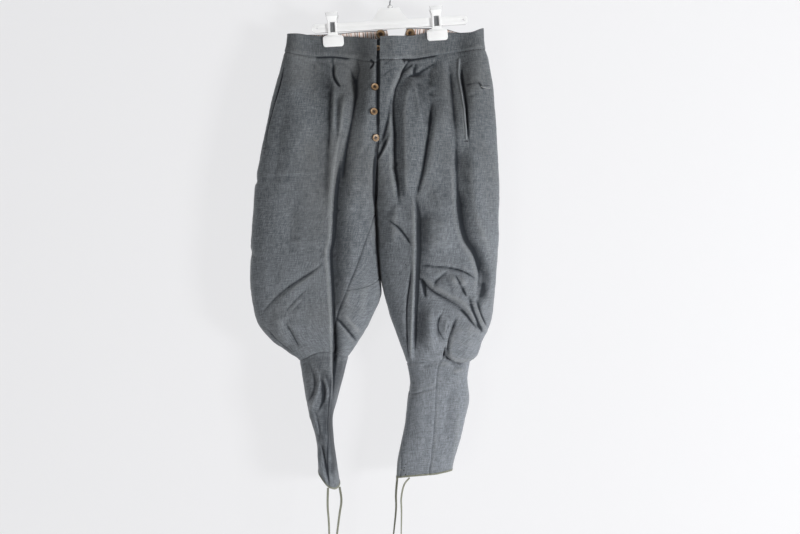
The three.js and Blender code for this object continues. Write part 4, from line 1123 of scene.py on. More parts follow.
# broad hollows that little light reaches: the way, how dark, how far to the left and right of it
frontShadows = [
    ([(50, 430), (52, 500), (51, 560), (50, 600), (48, 680), (45, 750)], 1.3, 2, 25, 5),
    ([(-92, 330), (-97, 366), (-104, 410), (-109, 460), (-112, 528), (-112, 600), (-109, 700),
      (-108, 780), (-110, 850)],
     1.5, 2, 21, 4),
    ([(133, 420), (136, 470), (146, 520), (165, 548), (178, 568), (187, 590), (186, 612), (178, 640),
      (172, 668)],
     1.9, 5, 15, 3),
    ([(36, 190), (24, 214), (9, 244), (7, 280), (10, 330), (12, 400), (20, 470)], 0.55, 2, 18, 4),
    ([(-70, 160), (-74, 230), (-78, 264), (-84, 310), (-92, 360)], 0.55, 6, 10, 2),
    ([(-122, 160), (-122, 250), (-122, 320), (-124, 380), (-124, 450)], 0.75, 22, 8, 2.2),
    ([(-24, 120), (-22.5, 200), (-24, 250), (-23, 300), (-24.5, 350), (-27.5, 386), (-28, 420), (-28, 468),
      (-25, 540), (-21, 595), (-18, 640)], 4, 4.5, 4, 3),
    ([(-130, 156), (-128, 200), (-126, 250)], 0.5, 15, 12, 3),
    ([(128, 170), (126, 250), (128, 330), (134, 400)], 0.8, 12, 9, 2.4),
    ([(-4, 250), (-8, 300), (-14, 350)], 0.6, 8, 5, 2),
    ([(56, 208), (62, 250), (70, 310)], 0.9, 11, 16, 2.2),
    ([(143, 180), (145, 232), (151, 300), (158, 360), (162, 430), (170, 500)], 0.7, 1, 12, 3),
    ([(80, 262), (74, 320), (66, 386), (54, 440)], 0.6, 2, 8, 3),
    ([(60, 604), (64, 616), (68, 632)], 0.6, 3, 4, 2),
    ([(156, 636), (163, 662), (173, 686), (184, 704)], 1.0, 5, 7, 3),
    ([(96, 660), (88, 690), (92, 720)], 0.5, 9, 9, 2),
    ([(182, 608), (184, 622), (178, 640)], 0.8, 8, 8, 2.4),
    ([(84, 622), (90, 608), (102, 596)], 0.6, 3, 9, 3),
    ([(-124, 780), (-122, 850), (-121, 924), (-112, 996)], 1.6, 12, 12, 3),
    ([(180, 300), (194, 420), (198, 520)], 0.3, 10, 10, 2),
    ([(-66, 300), (-68, 420), (-70, 520), (-76, 640)], 0.65, 26, 30, 3),
]
line = {"deep": 1.1, "wide": 2.0, "shade": 2.0, "taper": 0.14}


def foldRises(folds, x, drop, ends=None):
    # how far each place at (x, drop) is lifted by all the folds
    rises = np.zeros(x.shape)
    for points, rise, left, right, square in folds:
        path = smoothPath(points, 5)
        reach = 2.6 * max(left, right)
        low, high = path.min(axis=0) - reach, path.max(axis=0) + reach
        near = (x > low[0]) & (x < high[0]) & (drop > low[1]) & (drop < high[1])
        if not near.any():
            continue
        px, pd = x[near], drop[near]
        best = np.full(px.shape, 1e9)
        side = np.zeros(px.shape)
        along = np.zeros(px.shape)
        steps = np.hypot(*np.diff(path, axis=0).T)
        walked = np.concatenate([[0], np.cumsum(steps)])
        for k, step in enumerate(steps):
            (ax, ad), (bx, bd) = path[k], path[k + 1]
            ex, ed = bx - ax, bd - ad
            t = np.clip(((px - ax) * ex + (pd - ad) * ed) / step ** 2, 0, 1)
            dx, dd = px - ax - t * ex, pd - ad - t * ed
            distance = np.hypot(dx, dd)
            closer = distance < best
            best = np.where(closer, distance, best)
            side = np.where(closer, dx * ed - dd * ex, side)
            along = np.where(closer, (walked[k] + t * step) / walked[-1], along)
        # a fold dies away at both ends, shallower and narrower
        taper = ends or min(0.34, max(0.2, 60 / walked[-1]))
        fade = ease(along, -0.02, taper) * (1 - ease(along, 1 - taper, 1.02))
        width = np.where(side > 0, right, left) * (0.5 + 0.5 * fade)
        rises[near] += rise * fade * np.exp(-(best / width) ** square)
    return rises


crumple = [
    # size across, through and down in mm, height in mm, seed
    ((34, 34, 120), 1.5, 11),
    ((15, 15, 44), 0.6, 12),
    ((9, 9, 11), 0.22, 13),
    ((4.5, 4.5, 5), 0.07, 14),
]


def smallFolds(points):
    lift = np.zeros(points.shape[:-1])
    warp = 9 * np.stack([softNoise(points, 40, 20 + k) for k in range(3)], axis=-1)
    for size, height, seed in crumple:
        lift += height * softNoise(points + warp, size, seed)
    creases = 1 - np.abs(softNoise(points + 2 * warp, (26, 26, 30), 31)) * 7
    return lift + 0.35 * np.clip(creases, 0, 1) ** 2


print("cloth: folds and seams are ready")


# A panel of cloth: rows of nominal drops, columns from one seam to the other
def flatSize(points):
    # the cloth laid out flat, in m: its longest row, its longest column and its area
    rowSteps, columnSteps = np.diff(points, axis=1), np.diff(points, axis=0)
    area = np.linalg.norm(np.cross(columnSteps[:, :-1], rowSteps[:-1]), axis=-1).sum()
    width = np.linalg.norm(rowSteps, axis=-1).sum(axis=1).max()
    length = np.linalg.norm(columnSteps, axis=-1).sum(axis=0).max()
    return width * mm, length * mm, area * mm * mm


shaping = {
    # drops in mm where each begins and ends, and reaches as shares of the ring
    "shadowReach": (0.006, 0.024),
    "shadowBegins": (590, 615),
    "shadowEnds": (672, 690),
    "shadow": 2.0,
    "touch": 1.1,
    "touchReach": 0.03,
    "touchBegins": (466, 480),
    "touchEnds": (600, 622),
    "clipCalmEnds": (150, 186),
    "calfCalm": 0.45,
    "calfCalmBegins": (750, 800),
    "middle": 2.2,  # half the room kept between front and back
    "middleEnd": 300,
    "tuckSoft": 12,
    "tuckShade": 4.2,
}


class Panel:
    def __init__(self, leg, edges, start, end, columns, folds=True):
        self.leg = leg
        self.side = leg["side"]
        rows = max(2, int(round((end - start) / cloth["mesh"]))) + 1
        step = (end - start) / (rows - 1)
        self.drops = np.linspace(start, end, rows)
        wide = np.concatenate([[start - step], self.drops, [end + step]])
        self.places = np.zeros((rows + 2, columns + 3))
        for r, drop in enumerate(wide):
            a, b = edges[0](float(drop)), edges[1](float(drop))
            each = (b - a) / columns
            self.places[r] = np.linspace(a - each, b + each, columns + 3)
        bare = bareGrid(leg, self.places, wide)
        # above the crotch nothing lies past the centre lines, so those columns are drawn on
        above = wide < cloth["crotch"] + 3
        if edges[0](float(start)) < 0.1:
            bare[above, 0] = 2 * bare[above, 1] - bare[above, 2]
        if edges[1](float(start)) > 1.9:
            bare[above, -1] = 2 * bare[above, -2] - bare[above, -3]
        normals = gridNormals(bare, self.side)
        self.bare = bare[1:-1, 1:-1]
        self.normals = normals[1:-1, 1:-1]
        self.places = self.places[1:-1, 1:-1]
        self.lift, self.shade = np.zeros(self.bare.shape[:2]), np.zeros(self.bare.shape[:2])
        if folds:
            self.addLifts()
        self.points = self.bare + self.normals * self.lift[..., None]
        # where the right leg's inner fold hangs behind the left leg it is in shadow
        turned = onRing(self.places)
        fold = 1 - ease(np.minimum(turned, 2 - turned), *shaping["shadowReach"])
        behind = ease(self.drops, *shaping["shadowBegins"]) * (1 - ease(self.drops, *shaping["shadowEnds"]))
        self.shade -= shaping["shadow"] * fold * behind[:, None] * (self.side < 0)
        self.keepClear()
        self.setLengths()

    def addLifts(self):
        x, down = self.bare[..., 0], -self.bare[..., 2]
        turned = onRing(self.places)
        front, back = foldRises(frontFolds, x, down), foldRises(backFolds, x, down)
        # a fold near the outer or inner fold of the leg carries round it
        toBack = ease(turned, 0.93, 1.07)
        toFront = np.where(turned > 1.5, ease(turned, 1.96, 2.0) * 0.5, 0) - np.where(
            turned < 0.5, (1 - ease(turned, 0, 0.04)) * 0.5, 0)
        share = np.clip(1 - toBack + toFront * ease(down, cloth["crotch"], cloth["crotch"] + 60), 0, 1)
        lines = [(points, strength, line["wide"], line["wide"], 1.5) for points, strength in frontLines]
        thin = foldRises(lines, x, down, line["taper"])
        self.shade -= foldRises(frontShadows, x, down, line["taper"]) * share
        self.shade -= thin * line["shade"] * share
        lift = (front - thin * line["deep"]) * share + back * (1 - share)
        calm = 1 - pinch(x, down) * (1 - ease(down, *shaping["clipCalmEnds"]))
        calf = 1 - shaping["calfCalm"] * ease(down, *shaping["calfCalmBegins"])
        # the legs press on each other below the crotch
        inner = 1 - ease(np.minimum(turned, 2 - turned), 0.0, shaping["touchReach"])
        touch = shaping["touch"] * inner * ease(down, *shaping["touchBegins"])
        touch *= 1 - ease(down, *shaping["touchEnds"])
        band = ease(down, cloth["foldsStart"], cloth["foldsFull"])
        self.shade *= band
        self.lift = (lift * band + smallFolds(self.bare) * calf) * calm + touch

    def keepClear(self):
        # above the crotch the front stays before the middle plane, and the back behind it
        for sign, here in ((-1, self.places <= 1), (1, self.places > 1)):
            y = self.points[..., 1]
            past = here & (self.drops[:, None] < shaping["middleEnd"]) & (y * sign < shaping["middle"])
            self.points[..., 1] = np.where(past, sign * shaping["middle"], y)

    def setLengths(self):
        steps = np.linalg.norm(np.diff(self.bare, axis=1), axis=2)
        self.across = np.concatenate([np.zeros((len(steps), 1)), np.cumsum(steps, axis=1)], axis=1)
        middle = self.across[:, -1:] / 2
        high = -np.repeat(self.drops[:, None], self.across.shape[1], 1)
        self.uv = np.stack([self.across - middle, high], axis=-1)
        down = np.linalg.norm(np.diff(self.bare, axis=0), axis=2)
        self.down = np.concatenate([np.zeros((1, down.shape[1])), np.cumsum(down, axis=0)], axis=0)

    def edgeDistance(self, edge):
        return {
            "start": self.across,
            "end": self.across[:, -1:] - self.across,
            "top": self.down,
            "bottom": self.down[-1:] - self.down,
        }[edge]

    def sink(self, edge, deep, reach, shade, calm=None):
        # a sewn edge turns in towards its seam, and is darker there, less so between two calm drops
        near = np.exp(-(self.edgeDistance(edge) / reach) ** 2)
        if calm:
            quiet = ease(self.drops, calm[0] - 30, calm[0]) * (1 - ease(self.drops, calm[1], calm[1] + 30))
            near = near * (1 - 0.9 * quiet)[:, None]
        into = self.normals.copy()
        place = self.places[0, -1 if edge == "end" else 0]
        if edge in ("start", "end") and abs(place - round(place / 2) * 2) < 0.02:
            # beside a centre seam both edges sink straight back
            into[self.drops < cloth["crotch"]] = (0, -1 if place < 1 else 1, 0)
        self.points -= into * (deep * near)[..., None]
        self.shade -= near * shade

    def tuck(self, span, deep, reach, shade):
        # a front's top edge goes back under the waistband between two places in x, and is painted dark there
        # as shade
        x = self.bare[..., 0]
        soft = shaping["tuckSoft"]
        share = ease(x, span[0], span[0] + soft) * (1 - ease(x, span[1] - soft, span[1]))
        under = share * np.exp(-(self.down / reach) ** 1.3)
        self.points[..., 1] += deep * under
        self.keepClear()
        self.shade -= shade * share * np.exp(-(self.down / shaping["tuckShade"]) ** 2)

    def flare(self, out, reach):
        # the lower edge stands off what is below it
        far = self.edgeDistance("bottom")
        self.points += self.normals * (out * np.exp(-(far / reach) ** 2))[..., None]

    def at(self, place, drop, out=0.0):
        # the point of the finished surface at a ring place and nominal drop, and its normal
        r = np.clip((drop - self.drops[0]) / (self.drops[1] - self.drops[0]), 0, len(self.drops) - 1.001)
        i, t = int(r), r - int(r)
        rowPlaces = self.places[i] * (1 - t) + self.places[i + 1] * t
        c = float(np.interp(place, rowPlaces, np.arange(len(rowPlaces))))
        c = min(c, len(rowPlaces) - 1.001)
        j, s = int(c), c - int(c)

        def mix(grid):
            return ((1 - t) * ((1 - s) * grid[i, j] + s * grid[i, j + 1])
                    + t * ((1 - s) * grid[i + 1, j] + s * grid[i + 1, j + 1]))

        normal = mix(self.faceNormals())
        normal = normal / np.linalg.norm(normal)
        return mix(self.points) + normal * out, normal

    def faceNormals(self):
        if not hasattr(self, "shaded"):
            self.shaded = gridNormals(self.points, self.side)
        return self.shaded

    def bulges(self):
        # the painted shade, plus how far each point stands out from its neighbours: crests are painted paler,
        # partly as wear and partly as a painted highlight, and hollows darker as painted shade
        p = np.pad(self.points, ((3, 3), (3, 3), (0, 0)), mode="reflect", reflect_type="odd")
        out = self.shade.copy()
        for one, other in ((p[:-6, 3:-3], p[6:, 3:-3]), (p[3:-3, :-6], p[3:-3, 6:])):
            apart = np.linalg.norm(other - one, axis=-1) / 6
            rise = np.sum((self.points - (one + other) / 2) * self.faceNormals(), axis=-1)
            out += rise / 2 * np.minimum(1, (cloth["mesh"] / np.maximum(apart, 0.1)) ** 2)
        return out

    def build(self, name, material, node, wall=None, slot="cloth"):
        rows, columns = self.points.shape[:2]
        faces = gridFaces(rows, columns, self.side > 0)
        piece = meshPiece(name, self.points.reshape(-1, 3), faces, self.uv.reshape(-1, 2), self.bulges())
        solid = piece.modifiers.new("wall", "SOLIDIFY")
        solid.thickness = (wall or cloth["wall"]) * mm
        solid.offset = -1
        solid.use_quality_normals = True
        applyModifiers(piece)
        smooth(piece)
        finishPiece(piece, material, slot, node)
# The trousers' panels
columns = {"front": 132, "back": 150, "calf": 76, "gusset": 20}
spans = [
    # node, leg, seams, first and last nominal drop, columns
    ("waistband_front_right", "right", "rightFront", "bandTop", "waist", "front"),
    ("waistband_back_right", "right", "rightBack", "bandTop", "waist", "back"),
    ("front_right", "right", "rightFront", "waist", "calf", "front"),
    ("back_right", "right", "rightBack", "waist", "calf", "back"),
    ("calf_right_front", "right", "rightFront", "calf", "hem", "calf"),
    ("calf_right_back", "right", "rightBack", "calf", "hem", "calf"),
    ("waistband_front_left", "left", "leftFront", "bandTop", "waist", "front"),
    ("waistband_back_left", "left", "leftBack", "bandTop", "waist", "back"),
    ("front_left", "left", "leftFront", "waist", "calf", "front"),
    ("back_left", "left", "leftBack", "waist", "calf", "back"),
    ("knee_left_front", "left", "leftFront", "calf", "knee", "calf"),
    ("calf_left_front", "left", "leftFront", "knee", "hem", "calf"),
    ("calf_left_back", "left", "leftBack", "calf", "hem", "calf"),
    ("crotch_gusset", "right", "gusset", "gussetTop", "gussetLow", "gusset"),
]
panels = {}
for name, side, seam, start, end, count in spans:
    level = {**cloth, **legs[side]}
    panels[name] = Panel(legs[side], seams[seam], level[start], level[end], columns[count])
openEdges = {
    # edges that aren't sewn to a neighbour
    "waistband_front_right": ("top", "start"),
    "waistband_front_left": ("top", "start"),
    "waistband_back_right": ("top", "end"),
    "waistband_back_left": ("top", "end"),
    "calf_right_front": ("bottom",),
    "calf_right_back": ("bottom",),
    "calf_left_front": ("bottom",),
    "calf_left_back": ("bottom",),
}
sewing = {
    "quiet": 0.35,  # share of the seam's shade in the calf, the knee and at a lower edge
    "strong": 1.8,  # and at the centre front and the gusset
    "crumpled": (560, 690),  # drops where the left side seam is lost above the calf
    "flareFront": 1.0,
    "flareBack": 0.8,
    "flareReach": 9,
    "calfShade": 0.8,
    "bandShade": 0.6,
    "tuckDeep": 8,
    "tuckReach": 11,
    "tuckShade": 3.6,
    "tuckRight": (-152, -76),
    "tuckLeft": (20, 98),
}
for name, panel in panels.items():
    for edge in ("top", "bottom", "start", "end"):
        if edge in openEdges.get(name, ()):
            continue
        shade = cloth["seamShade"]
        if "calf" in name or "knee" in name or edge == "bottom":
            shade *= sewing["quiet"]
        elif (name, edge) in (("front_right", "start"), ("front_left", "start")) or name == "crotch_gusset":
            shade *= sewing["strong"]
        lost = sewing["crumpled"] if (name, edge) in (("front_left", "end"), ("back_left", "start")) else None
        panel.sink(edge, cloth["dip"], cloth["dipReach"], shade, lost)
for side in ("right", "left"):
    panels["waistband_front_" + side].flare(sewing["flareFront"], sewing["flareReach"])
    panels["waistband_back_" + side].flare(sewing["flareBack"], sewing["flareReach"])
for name in ("calf_right_front", "calf_right_back"):
    panels[name].shade -= sewing["calfShade"]
panels["waistband_front_right"].shade -= sewing["bandShade"]
for side, span in (("right", sewing["tuckRight"]), ("left", sewing["tuckLeft"])):
    panels["front_" + side].tuck(span, sewing["tuckDeep"], sewing["tuckReach"], sewing["tuckShade"])
print("panels are shaped")

for name, panel in panels.items():
    panel.build("scene_" + name, grey, name, cloth["band" if "waistband" in name else "wall"])
print("panels are built")


# Where things lie on the finished cloth
def spot(panel, x, drop, out=0.0, face="front"):
    # the point at x and a true drop on the finished surface, moved out, and its normal
    nominal, place, step = drop, placeAt(panel.leg, drop, x, face), 0.004
    for _ in range(4):
        point, _ = panel.at(place, nominal)
        beside, _ = panel.at(place + step, nominal)
        rate = (beside[0] - point[0]) / step
        if abs(rate) > 20:
            place += float(np.clip((x - point[0]) / rate, -0.03, 0.03))
        nominal += drop + point[2]
    return panel.at(place, nominal, out)


def along(points, pitch):
    # places at an even pitch along a smooth path
    path = smoothPath(points, 8)
    walked = np.concatenate([[0], np.cumsum(np.hypot(*np.diff(path, axis=0).T))])
    marks = np.linspace(0, walked[-1], max(2, int(round(walked[-1] / pitch)) + 1))
    return np.stack([np.interp(marks, walked, path[:, k]) for k in (0, 1)], axis=1)


def stripPiece(name, outer, inner):
    # a solid strip between two grids of points of the same shape
    outer, inner = np.asarray(outer), np.asarray(inner)
    rows = len(outer)
    ringPoints = np.concatenate([outer, inner[:, ::-1]], axis=1)
    around = ringPoints.shape[1]
    faces = []
    for i in range(rows - 1):
        for k in range(around):
            a, b = i * around + k, i * around + (k + 1) % around
            faces.append([a, b, b + around, a + around])
    faces.append(list(range(around))[::-1])
    faces.append([(rows - 1) * around + k for k in range(around)])
    length = np.concatenate([[0], np.cumsum(np.linalg.norm(np.diff(outer[:, 0], axis=0), axis=1))])
    uv = [(k * 1.2, length[i]) for i in range(rows) for k in range(around)]
    piece = meshPiece(name, ringPoints.reshape(-1, 3), faces, uv)
    faceOutward(piece)
    return piece


def welt(name, panel, route, wide, high):
    # a rounded strip laid on the cloth along a route of (x, drop)
    places = along(route, trims["weltPitch"])
    shape = trims["weltShape"]
    outer, inner = [], []
    for i, (x, drop) in enumerate(places):
        ahead = places[min(i + 1, len(places) - 1)] - places[max(i - 1, 0)]
        ahead = ahead / np.hypot(*ahead)
        across = np.array([-ahead[1], ahead[0]])
        top, bottom = [], []
        end = math.sin(math.pi * min(1, (i + 0.4) / 1.6) / 2) * math.sin(
            math.pi * min(1, (len(places) - i - 0.6) / 1.6) / 2)
        for k, rise in enumerate(shape):
            shift = across * wide * (k / (len(shape) - 1) - 0.5) * (0.5 + 0.5 * end)
            point, normal = spot(panel, x + shift[0], drop + shift[1])
            top.append(point + normal * high * rise * end)
            bottom.append(point + normal * trims["weltLow"])
        outer.append(top)
        inner.append(bottom)
    return stripPiece(name, outer, inner)


def joined(name, pieces):
    clearSelection()
    for piece in pieces:
        piece.select_set(True)
    bpy.context.view_layer.objects.active = pieces[0]
    bpy.ops.object.join()
    pieces[0].name = name
    pieces[0].data.name = name
    return pieces[0]


# Striped facing, button stand, pocket edges and hem tape
trims = {
    "facingWall": 0.9,
    "facingTop": 113.5,
    "facingEnd": 155,
    "standWide": 9,
    "standTop": 115.0,
    "standEnd": 472,
    "standStep": 4,
    "standDeep": 2.2,
    "standWall": 1.1,
    "weltWide": 4.2,
    "weltHigh": 2.3,
    "weltLow": -0.4,
    "weltPitch": 3.0,
    "weltShape": (0.15, 0.8, 1.0, 0.8, 0.15),
    "flatWelt": 0.55,  # the wearer's right pocket lies flat
    "tapeHigh": 3.4,
    "tapeOut": 0.7,
    "tapeWall": 0.8,
}
for side, leg in legs.items():
    facing = Panel(leg, seams[side + "Back"], trims["facingTop"], trims["facingEnd"], 90, folds=False)
    band = panels["waistband_back_" + side]
    for r, drop in enumerate(facing.drops):
        for c, place in enumerate(facing.places[r]):
            facing.points[r, c] = band.at(float(place), float(drop), -cloth["band"] - 0.15)[0]
    panels["facing_back_" + side] = facing
    facing.build("scene_facing_back_" + side, stripes, "facing_back_" + side, trims["facingWall"], "facing")
print("facings are made")

standRows = []
drop = trims["standTop"]
while drop < trims["standEnd"]:
    row = []
    for side in ("right", "left"):
        band = drop < cloth["waist"]
        panel = panels[("waistband_front_" if band else "front_") + side]
        edge = seams[side + "Front"][0](drop)
        reach = trims["standWide"] / ring(legs[side], drop)["front"][3][-1]
        behind = -(cloth["band"] if band else cloth["wall"]) - trims["standDeep"]
        pair = [panel.at(edge + share * reach, drop, behind)[0] for share in (1, 0.5, 0.05)]
        row += pair if side == "right" else pair[::-1]
    standRows.append(row)
    drop += trims["standStep"]
standRows = np.array(standRows)
standPiece = stripPiece("scene_fly_stand", standRows, standRows + np.array([0, trims["standWall"], 0]))
smooth(standPiece, 40)
finishPiece(standPiece, shadedGreyCloth, "cloth", "fly_stand")
print("button stand is made")

pocketRoutes = {
    "right": [(-211, 170), (-218, 212), (-230, 256), (-241.5, 298), (-247, 340)],
    "left": [(138.5, 162), (136.5, 194), (140.5, 228), (145, 262), (147.5, 296), (150, 328)],
}
for side, route in pocketRoutes.items():
    share = 1.0 if side == "left" else trims["flatWelt"]
    piece = welt("scene_pocket_edge_" + side, panels["front_" + side], route,
                 trims["weltWide"] * share, trims["weltHigh"] * share)
    smooth(piece, 60)
    finishPiece(piece, litGreyCloth if side == "left" else grey, "cloth", "pocket_edge_" + side)
print("pocket edges are made")

for side, leg in legs.items():
    outer, inner = [], []
    for half in ("front", "back"):
        panel = panels["calf_%s_%s" % (side, half)]
        for c, place in enumerate(panel.places[-1]):
            if half == "back" and c == 0:
                continue
            column = []
            for share in (0, 0.5, 1):
                drop = leg["hem"] - 0.2 - trims["tapeHigh"] * share
                column.append(panel.at(float(place), drop)[:2])
            outer.append([p + n * trims["tapeOut"] for p, n in column])
            inner.append([p - n * (trims["tapeWall"] - trims["tapeOut"]) for p, n in column])
    piece = stripPiece("scene_hem_tape_" + side, outer, inner)
    smooth(piece, 50)
    finishPiece(piece, tape, "tape", "hem_tape_" + side)
print("hem tapes are made")


# Buttons
button = {
    # as shares of the radius, but the dish as a share of the thickness
    "steps": 36,
    "rim": 0.2,
    "slope": 0.16,
    "middle": 0.2,
    "dish": 0.42,
    "hole": 0.12,
    "holeOff": 0.2,
    "soft": 0.35,  # how far its edges are rounded, in mm
    "thread": 0.09,
    "threadLong": 0.5,
    "threadOff": 0.72,  # as a share of holeOff
    "threadHigh": 0.62,  # as a share of the thickness
    "fly": (7.5, 2.6),  # radius and thickness in mm
    "brace": (9, 3.2),
    "waist": (5.5, 1.2),
}


def buttonPiece(node, size, point, normal):
    # a cylinder with a raised rim, a dished middle and four sunk holes
    radius, thick = size
    clearSelection()
    bpy.ops.mesh.primitive_cylinder_add(vertices=button["steps"], radius=radius * mm, depth=thick * mm,
                                        location=(0, 0, thick / 2 * mm))
    piece = bpy.context.object
    piece.name = "scene_" + node
    bpy.ops.object.transform_apply(location=True)
    bpy.ops.object.mode_set(mode="EDIT")
    shape = bmesh.from_edit_mesh(piece.data)
    for face in shape.faces:
        face.select = face.normal.z > 0.9
    bmesh.update_edit_mesh(piece.data)
    bpy.ops.mesh.inset(thickness=radius * button["rim"] * mm)
    bpy.ops.mesh.inset(thickness=radius * button["slope"] * mm)
    bpy.ops.transform.translate(value=(0, 0, -thick * button["dish"] * mm))
    bpy.ops.mesh.inset(thickness=radius * button["middle"] * mm)
    bpy.ops.object.mode_set(mode="OBJECT")
    bevel = piece.modifiers.new("soft", "BEVEL")
    bevel.width = button["soft"] * mm
    bevel.segments = 2
    bevel.limit_method = "ANGLE"
    holes = []
    for k in range(4):
        angle = math.radians(45 + 90 * k)
        off = radius * button["holeOff"] * mm
        bpy.ops.mesh.primitive_cylinder_add(
            vertices=12, radius=radius * button["hole"] * mm, depth=thick * 3 * mm,
            location=(off * math.cos(angle), off * math.sin(angle), 0))
        holes.append(bpy.context.object)
    drill = joined("drill", holes)
    cut = piece.modifiers.new("holes", "BOOLEAN")
    cut.operation = "DIFFERENCE"
    cut.object = drill
    cut.solver = "EXACT"
    applyModifiers(piece)
    bpy.data.objects.remove(drill)
    mesh = piece.data
    wearAndPaintedLight = mesh.attributes.new("wearAndPaintedLight", "FLOAT", "POINT")
    for vertex in mesh.vertices:
        # the outer edge, partly painted shade, and the middle are darker than the ring between them
        far = vertex.co.xy.length / (radius * mm)
        wearAndPaintedLight.data[vertex.index].value = 0.9 if far > 0.93 else 0.75 if far < 0.5 else 0.1
    turn = Vector((0, 0, 1)).rotation_difference(Vector(normal)).to_matrix().to_4x4()
    turn.translation = Vector(point) * mm
    mesh.transform(turn)
    smooth(piece, 35)
    finishPiece(piece, horn, "button", node)
    # the thread crosses from hole to hole
    bars = []
    for k in range(2):
        off = radius * button["holeOff"] * button["threadOff"] * mm * (1 if k else -1)
        bpy.ops.mesh.primitive_cylinder_add(
            vertices=8, radius=radius * button["thread"] * mm, depth=radius * button["threadLong"] * mm,
            location=(off, 0, thick * button["threadHigh"] * mm), rotation=(math.pi / 2, 0, 0))
        bar = bpy.context.object
        bpy.ops.object.transform_apply(location=True, rotation=True)
        bar.data.transform(turn)
        bars.append(bar)
    return bars


sewn = []
for k, (x, drop) in enumerate([(-29.9, 224.6), (-31.8, 273.4), (-28.2, 324.6)]):
    point, normal = spot(panels["front_right"], x, drop, 0.5)
    sewn += buttonPiece("fly_button_%d" % (k + 1), button["fly"], point, normal)
for k, (side, x, drop) in enumerate([("right", -19, 111), ("left", 41.5, 110)]):
    panel = panels["waistband_back_" + side]
    point, normal = spot(panel, x, drop, -(cloth["band"] + trims["facingWall"] + 0.6), "back")
    sewn += buttonPiece("brace_button_%d" % (k + 1), button["brace"], point, -normal)
low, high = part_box("waist_button")
middle = (np.array(low) + np.array(high)) / 2 / mm
sewn += buttonPiece("waist_button", button["waist"], middle + np.array([0, 0.6, 0]), (0, -1, 0))
threads = joined("scene_button_threads", sewn)
smooth(threads, 40)
finishPiece(threads, darkThread, None)
print("buttons are made")


# Stitches, small holes and a mended tear
stitch = {"pitch": 3.4, "long": 2.3, "wide": 0.55, "high": 0.28}


class Stitches:
    # many small stitches joined in one piece
    def __init__(self):
        self.points, self.faces = [], []

    def add(self, point, ahead, normal, long=None, wide=None):
        ahead = ahead - normal * np.dot(ahead, normal)
        ahead = ahead / max(np.linalg.norm(ahead), 1e-9)
        aside = np.cross(normal, ahead)
        half = (long or stitch["long"]) / 2
        side = (wide or stitch["wide"]) / 2
        base = len(self.points)
        self.points += [
            point - ahead * half - normal * 0.2, point + aside * side, point + ahead * half - normal * 0.2,
            point - aside * side, point + normal * stitch["high"], point - normal * 0.3]
        for a, b in ((0, 1), (1, 2), (2, 3), (3, 0)):
            self.faces += [(base + b, base + a, base + 4), (base + a, base + b, base + 5)]

    def row(self, cells, long=None, wide=None):
        for i, (point, normal) in enumerate(cells):
            ahead = cells[min(i + 1, len(cells) - 1)][0] - cells[max(i - 1, 0)][0]
            self.add(point, ahead, normal, long, wide)

    def route(self, panel, points, pitch=None, long=None, wide=None, face="front"):
        places = along(points, pitch or stitch["pitch"])
        self.row([spot(panel, x, drop, 0.1, face) for x, drop in places], long, wide)

    def edge(self, panel, edge, inset, lost=(0, 0)):
        # a row beside an edge, but for the drops where it is lost in folds
        cells = []
        if edge in ("start", "end"):
            for drop in np.arange(panel.drops[0] + 3, panel.drops[-1] - 2, stitch["pitch"]):
                if lost[0] < drop < lost[1]:
                    continue
                r = int(round((drop - panel.drops[0]) / (panel.drops[1] - panel.drops[0])))
                across = panel.across[r]
                far = inset if edge == "start" else across[-1] - inset
                cells.append(panel.at(float(np.interp(far, across, panel.places[r])), float(drop), 0.1))
        else:
            drop = panel.drops[0] + inset if edge == "top" else panel.drops[-1] - inset
            across, places = panel.across[len(panel.across) // 2], panel.places[len(panel.places) // 2]
            for far in np.arange(3, across[-1] - 2, stitch["pitch"]):
                cells.append(panel.at(float(np.interp(far, across, places)), float(drop), 0.1))
        self.row(cells)

    def finish(self, name, material):
        piece = meshPiece(name, self.points, self.faces)
        faceOutward(piece)
        finishPiece(piece, material, None)


seamStitches = Stitches()
for side in ("right", "left"):
    for half in ("front", "back"):
        band = panels["waistband_%s_%s" % (half, side)]
        seamStitches.edge(band, "top", 3)
        seamStitches.edge(band, "bottom", 3.4)
    seamStitches.edge(panels["back_" + side], "start", 3, (555, 700) if side == "left" else (0, 0))
    seamStitches.edge(panels["calf_%s_back" % side], "start", 3)
    seamStitches.edge(panels["calf_%s_front" % side], "bottom", 6)
    seamStitches.edge(panels["calf_%s_back" % side], "bottom", 6)
seamStitches.edge(panels["crotch_gusset"], "start", 2.6)
seamStitches.edge(panels["front_right"], "start", 3)
seamStitches.edge(panels["knee_left_front"], "top", 3)
seamStitches.edge(panels["calf_left_front"], "top", 3)
seamStitches.edge(panels["calf_right_front"], "top", 3)
flyRoute = [(-43, 176), (-45, 230), (-47, 290), (-45, 320), (-37, 337), (-27, 347)]
seamStitches.route(panels["front_right"], flyRoute)
seamStitches.route(panels["front_left"], [(-13, 172), (-14, 240), (-15, 300), (-18, 344)])
for side, route in pocketRoutes.items():
    shift = -5 if side == "left" else 6
    seamStitches.route(panels["front_" + side], [(x + shift, drop) for x, drop in route])
seamStitches.finish("scene_seam_stitches", greyThread)
print("seam stitches are made")

darkStitches = Stitches()
for side, end in (("left", (150, 330)), ("right", (-247, 342))):
    for k in range(7):
        x, drop = end[0] - 3 + k, end[1] + 1.5
        point, normal = spot(panels["front_" + side], x, drop, 0.3)
        darkStitches.add(point, np.array([0.2, 0, 1.0]), normal, 3.4, 0.9)
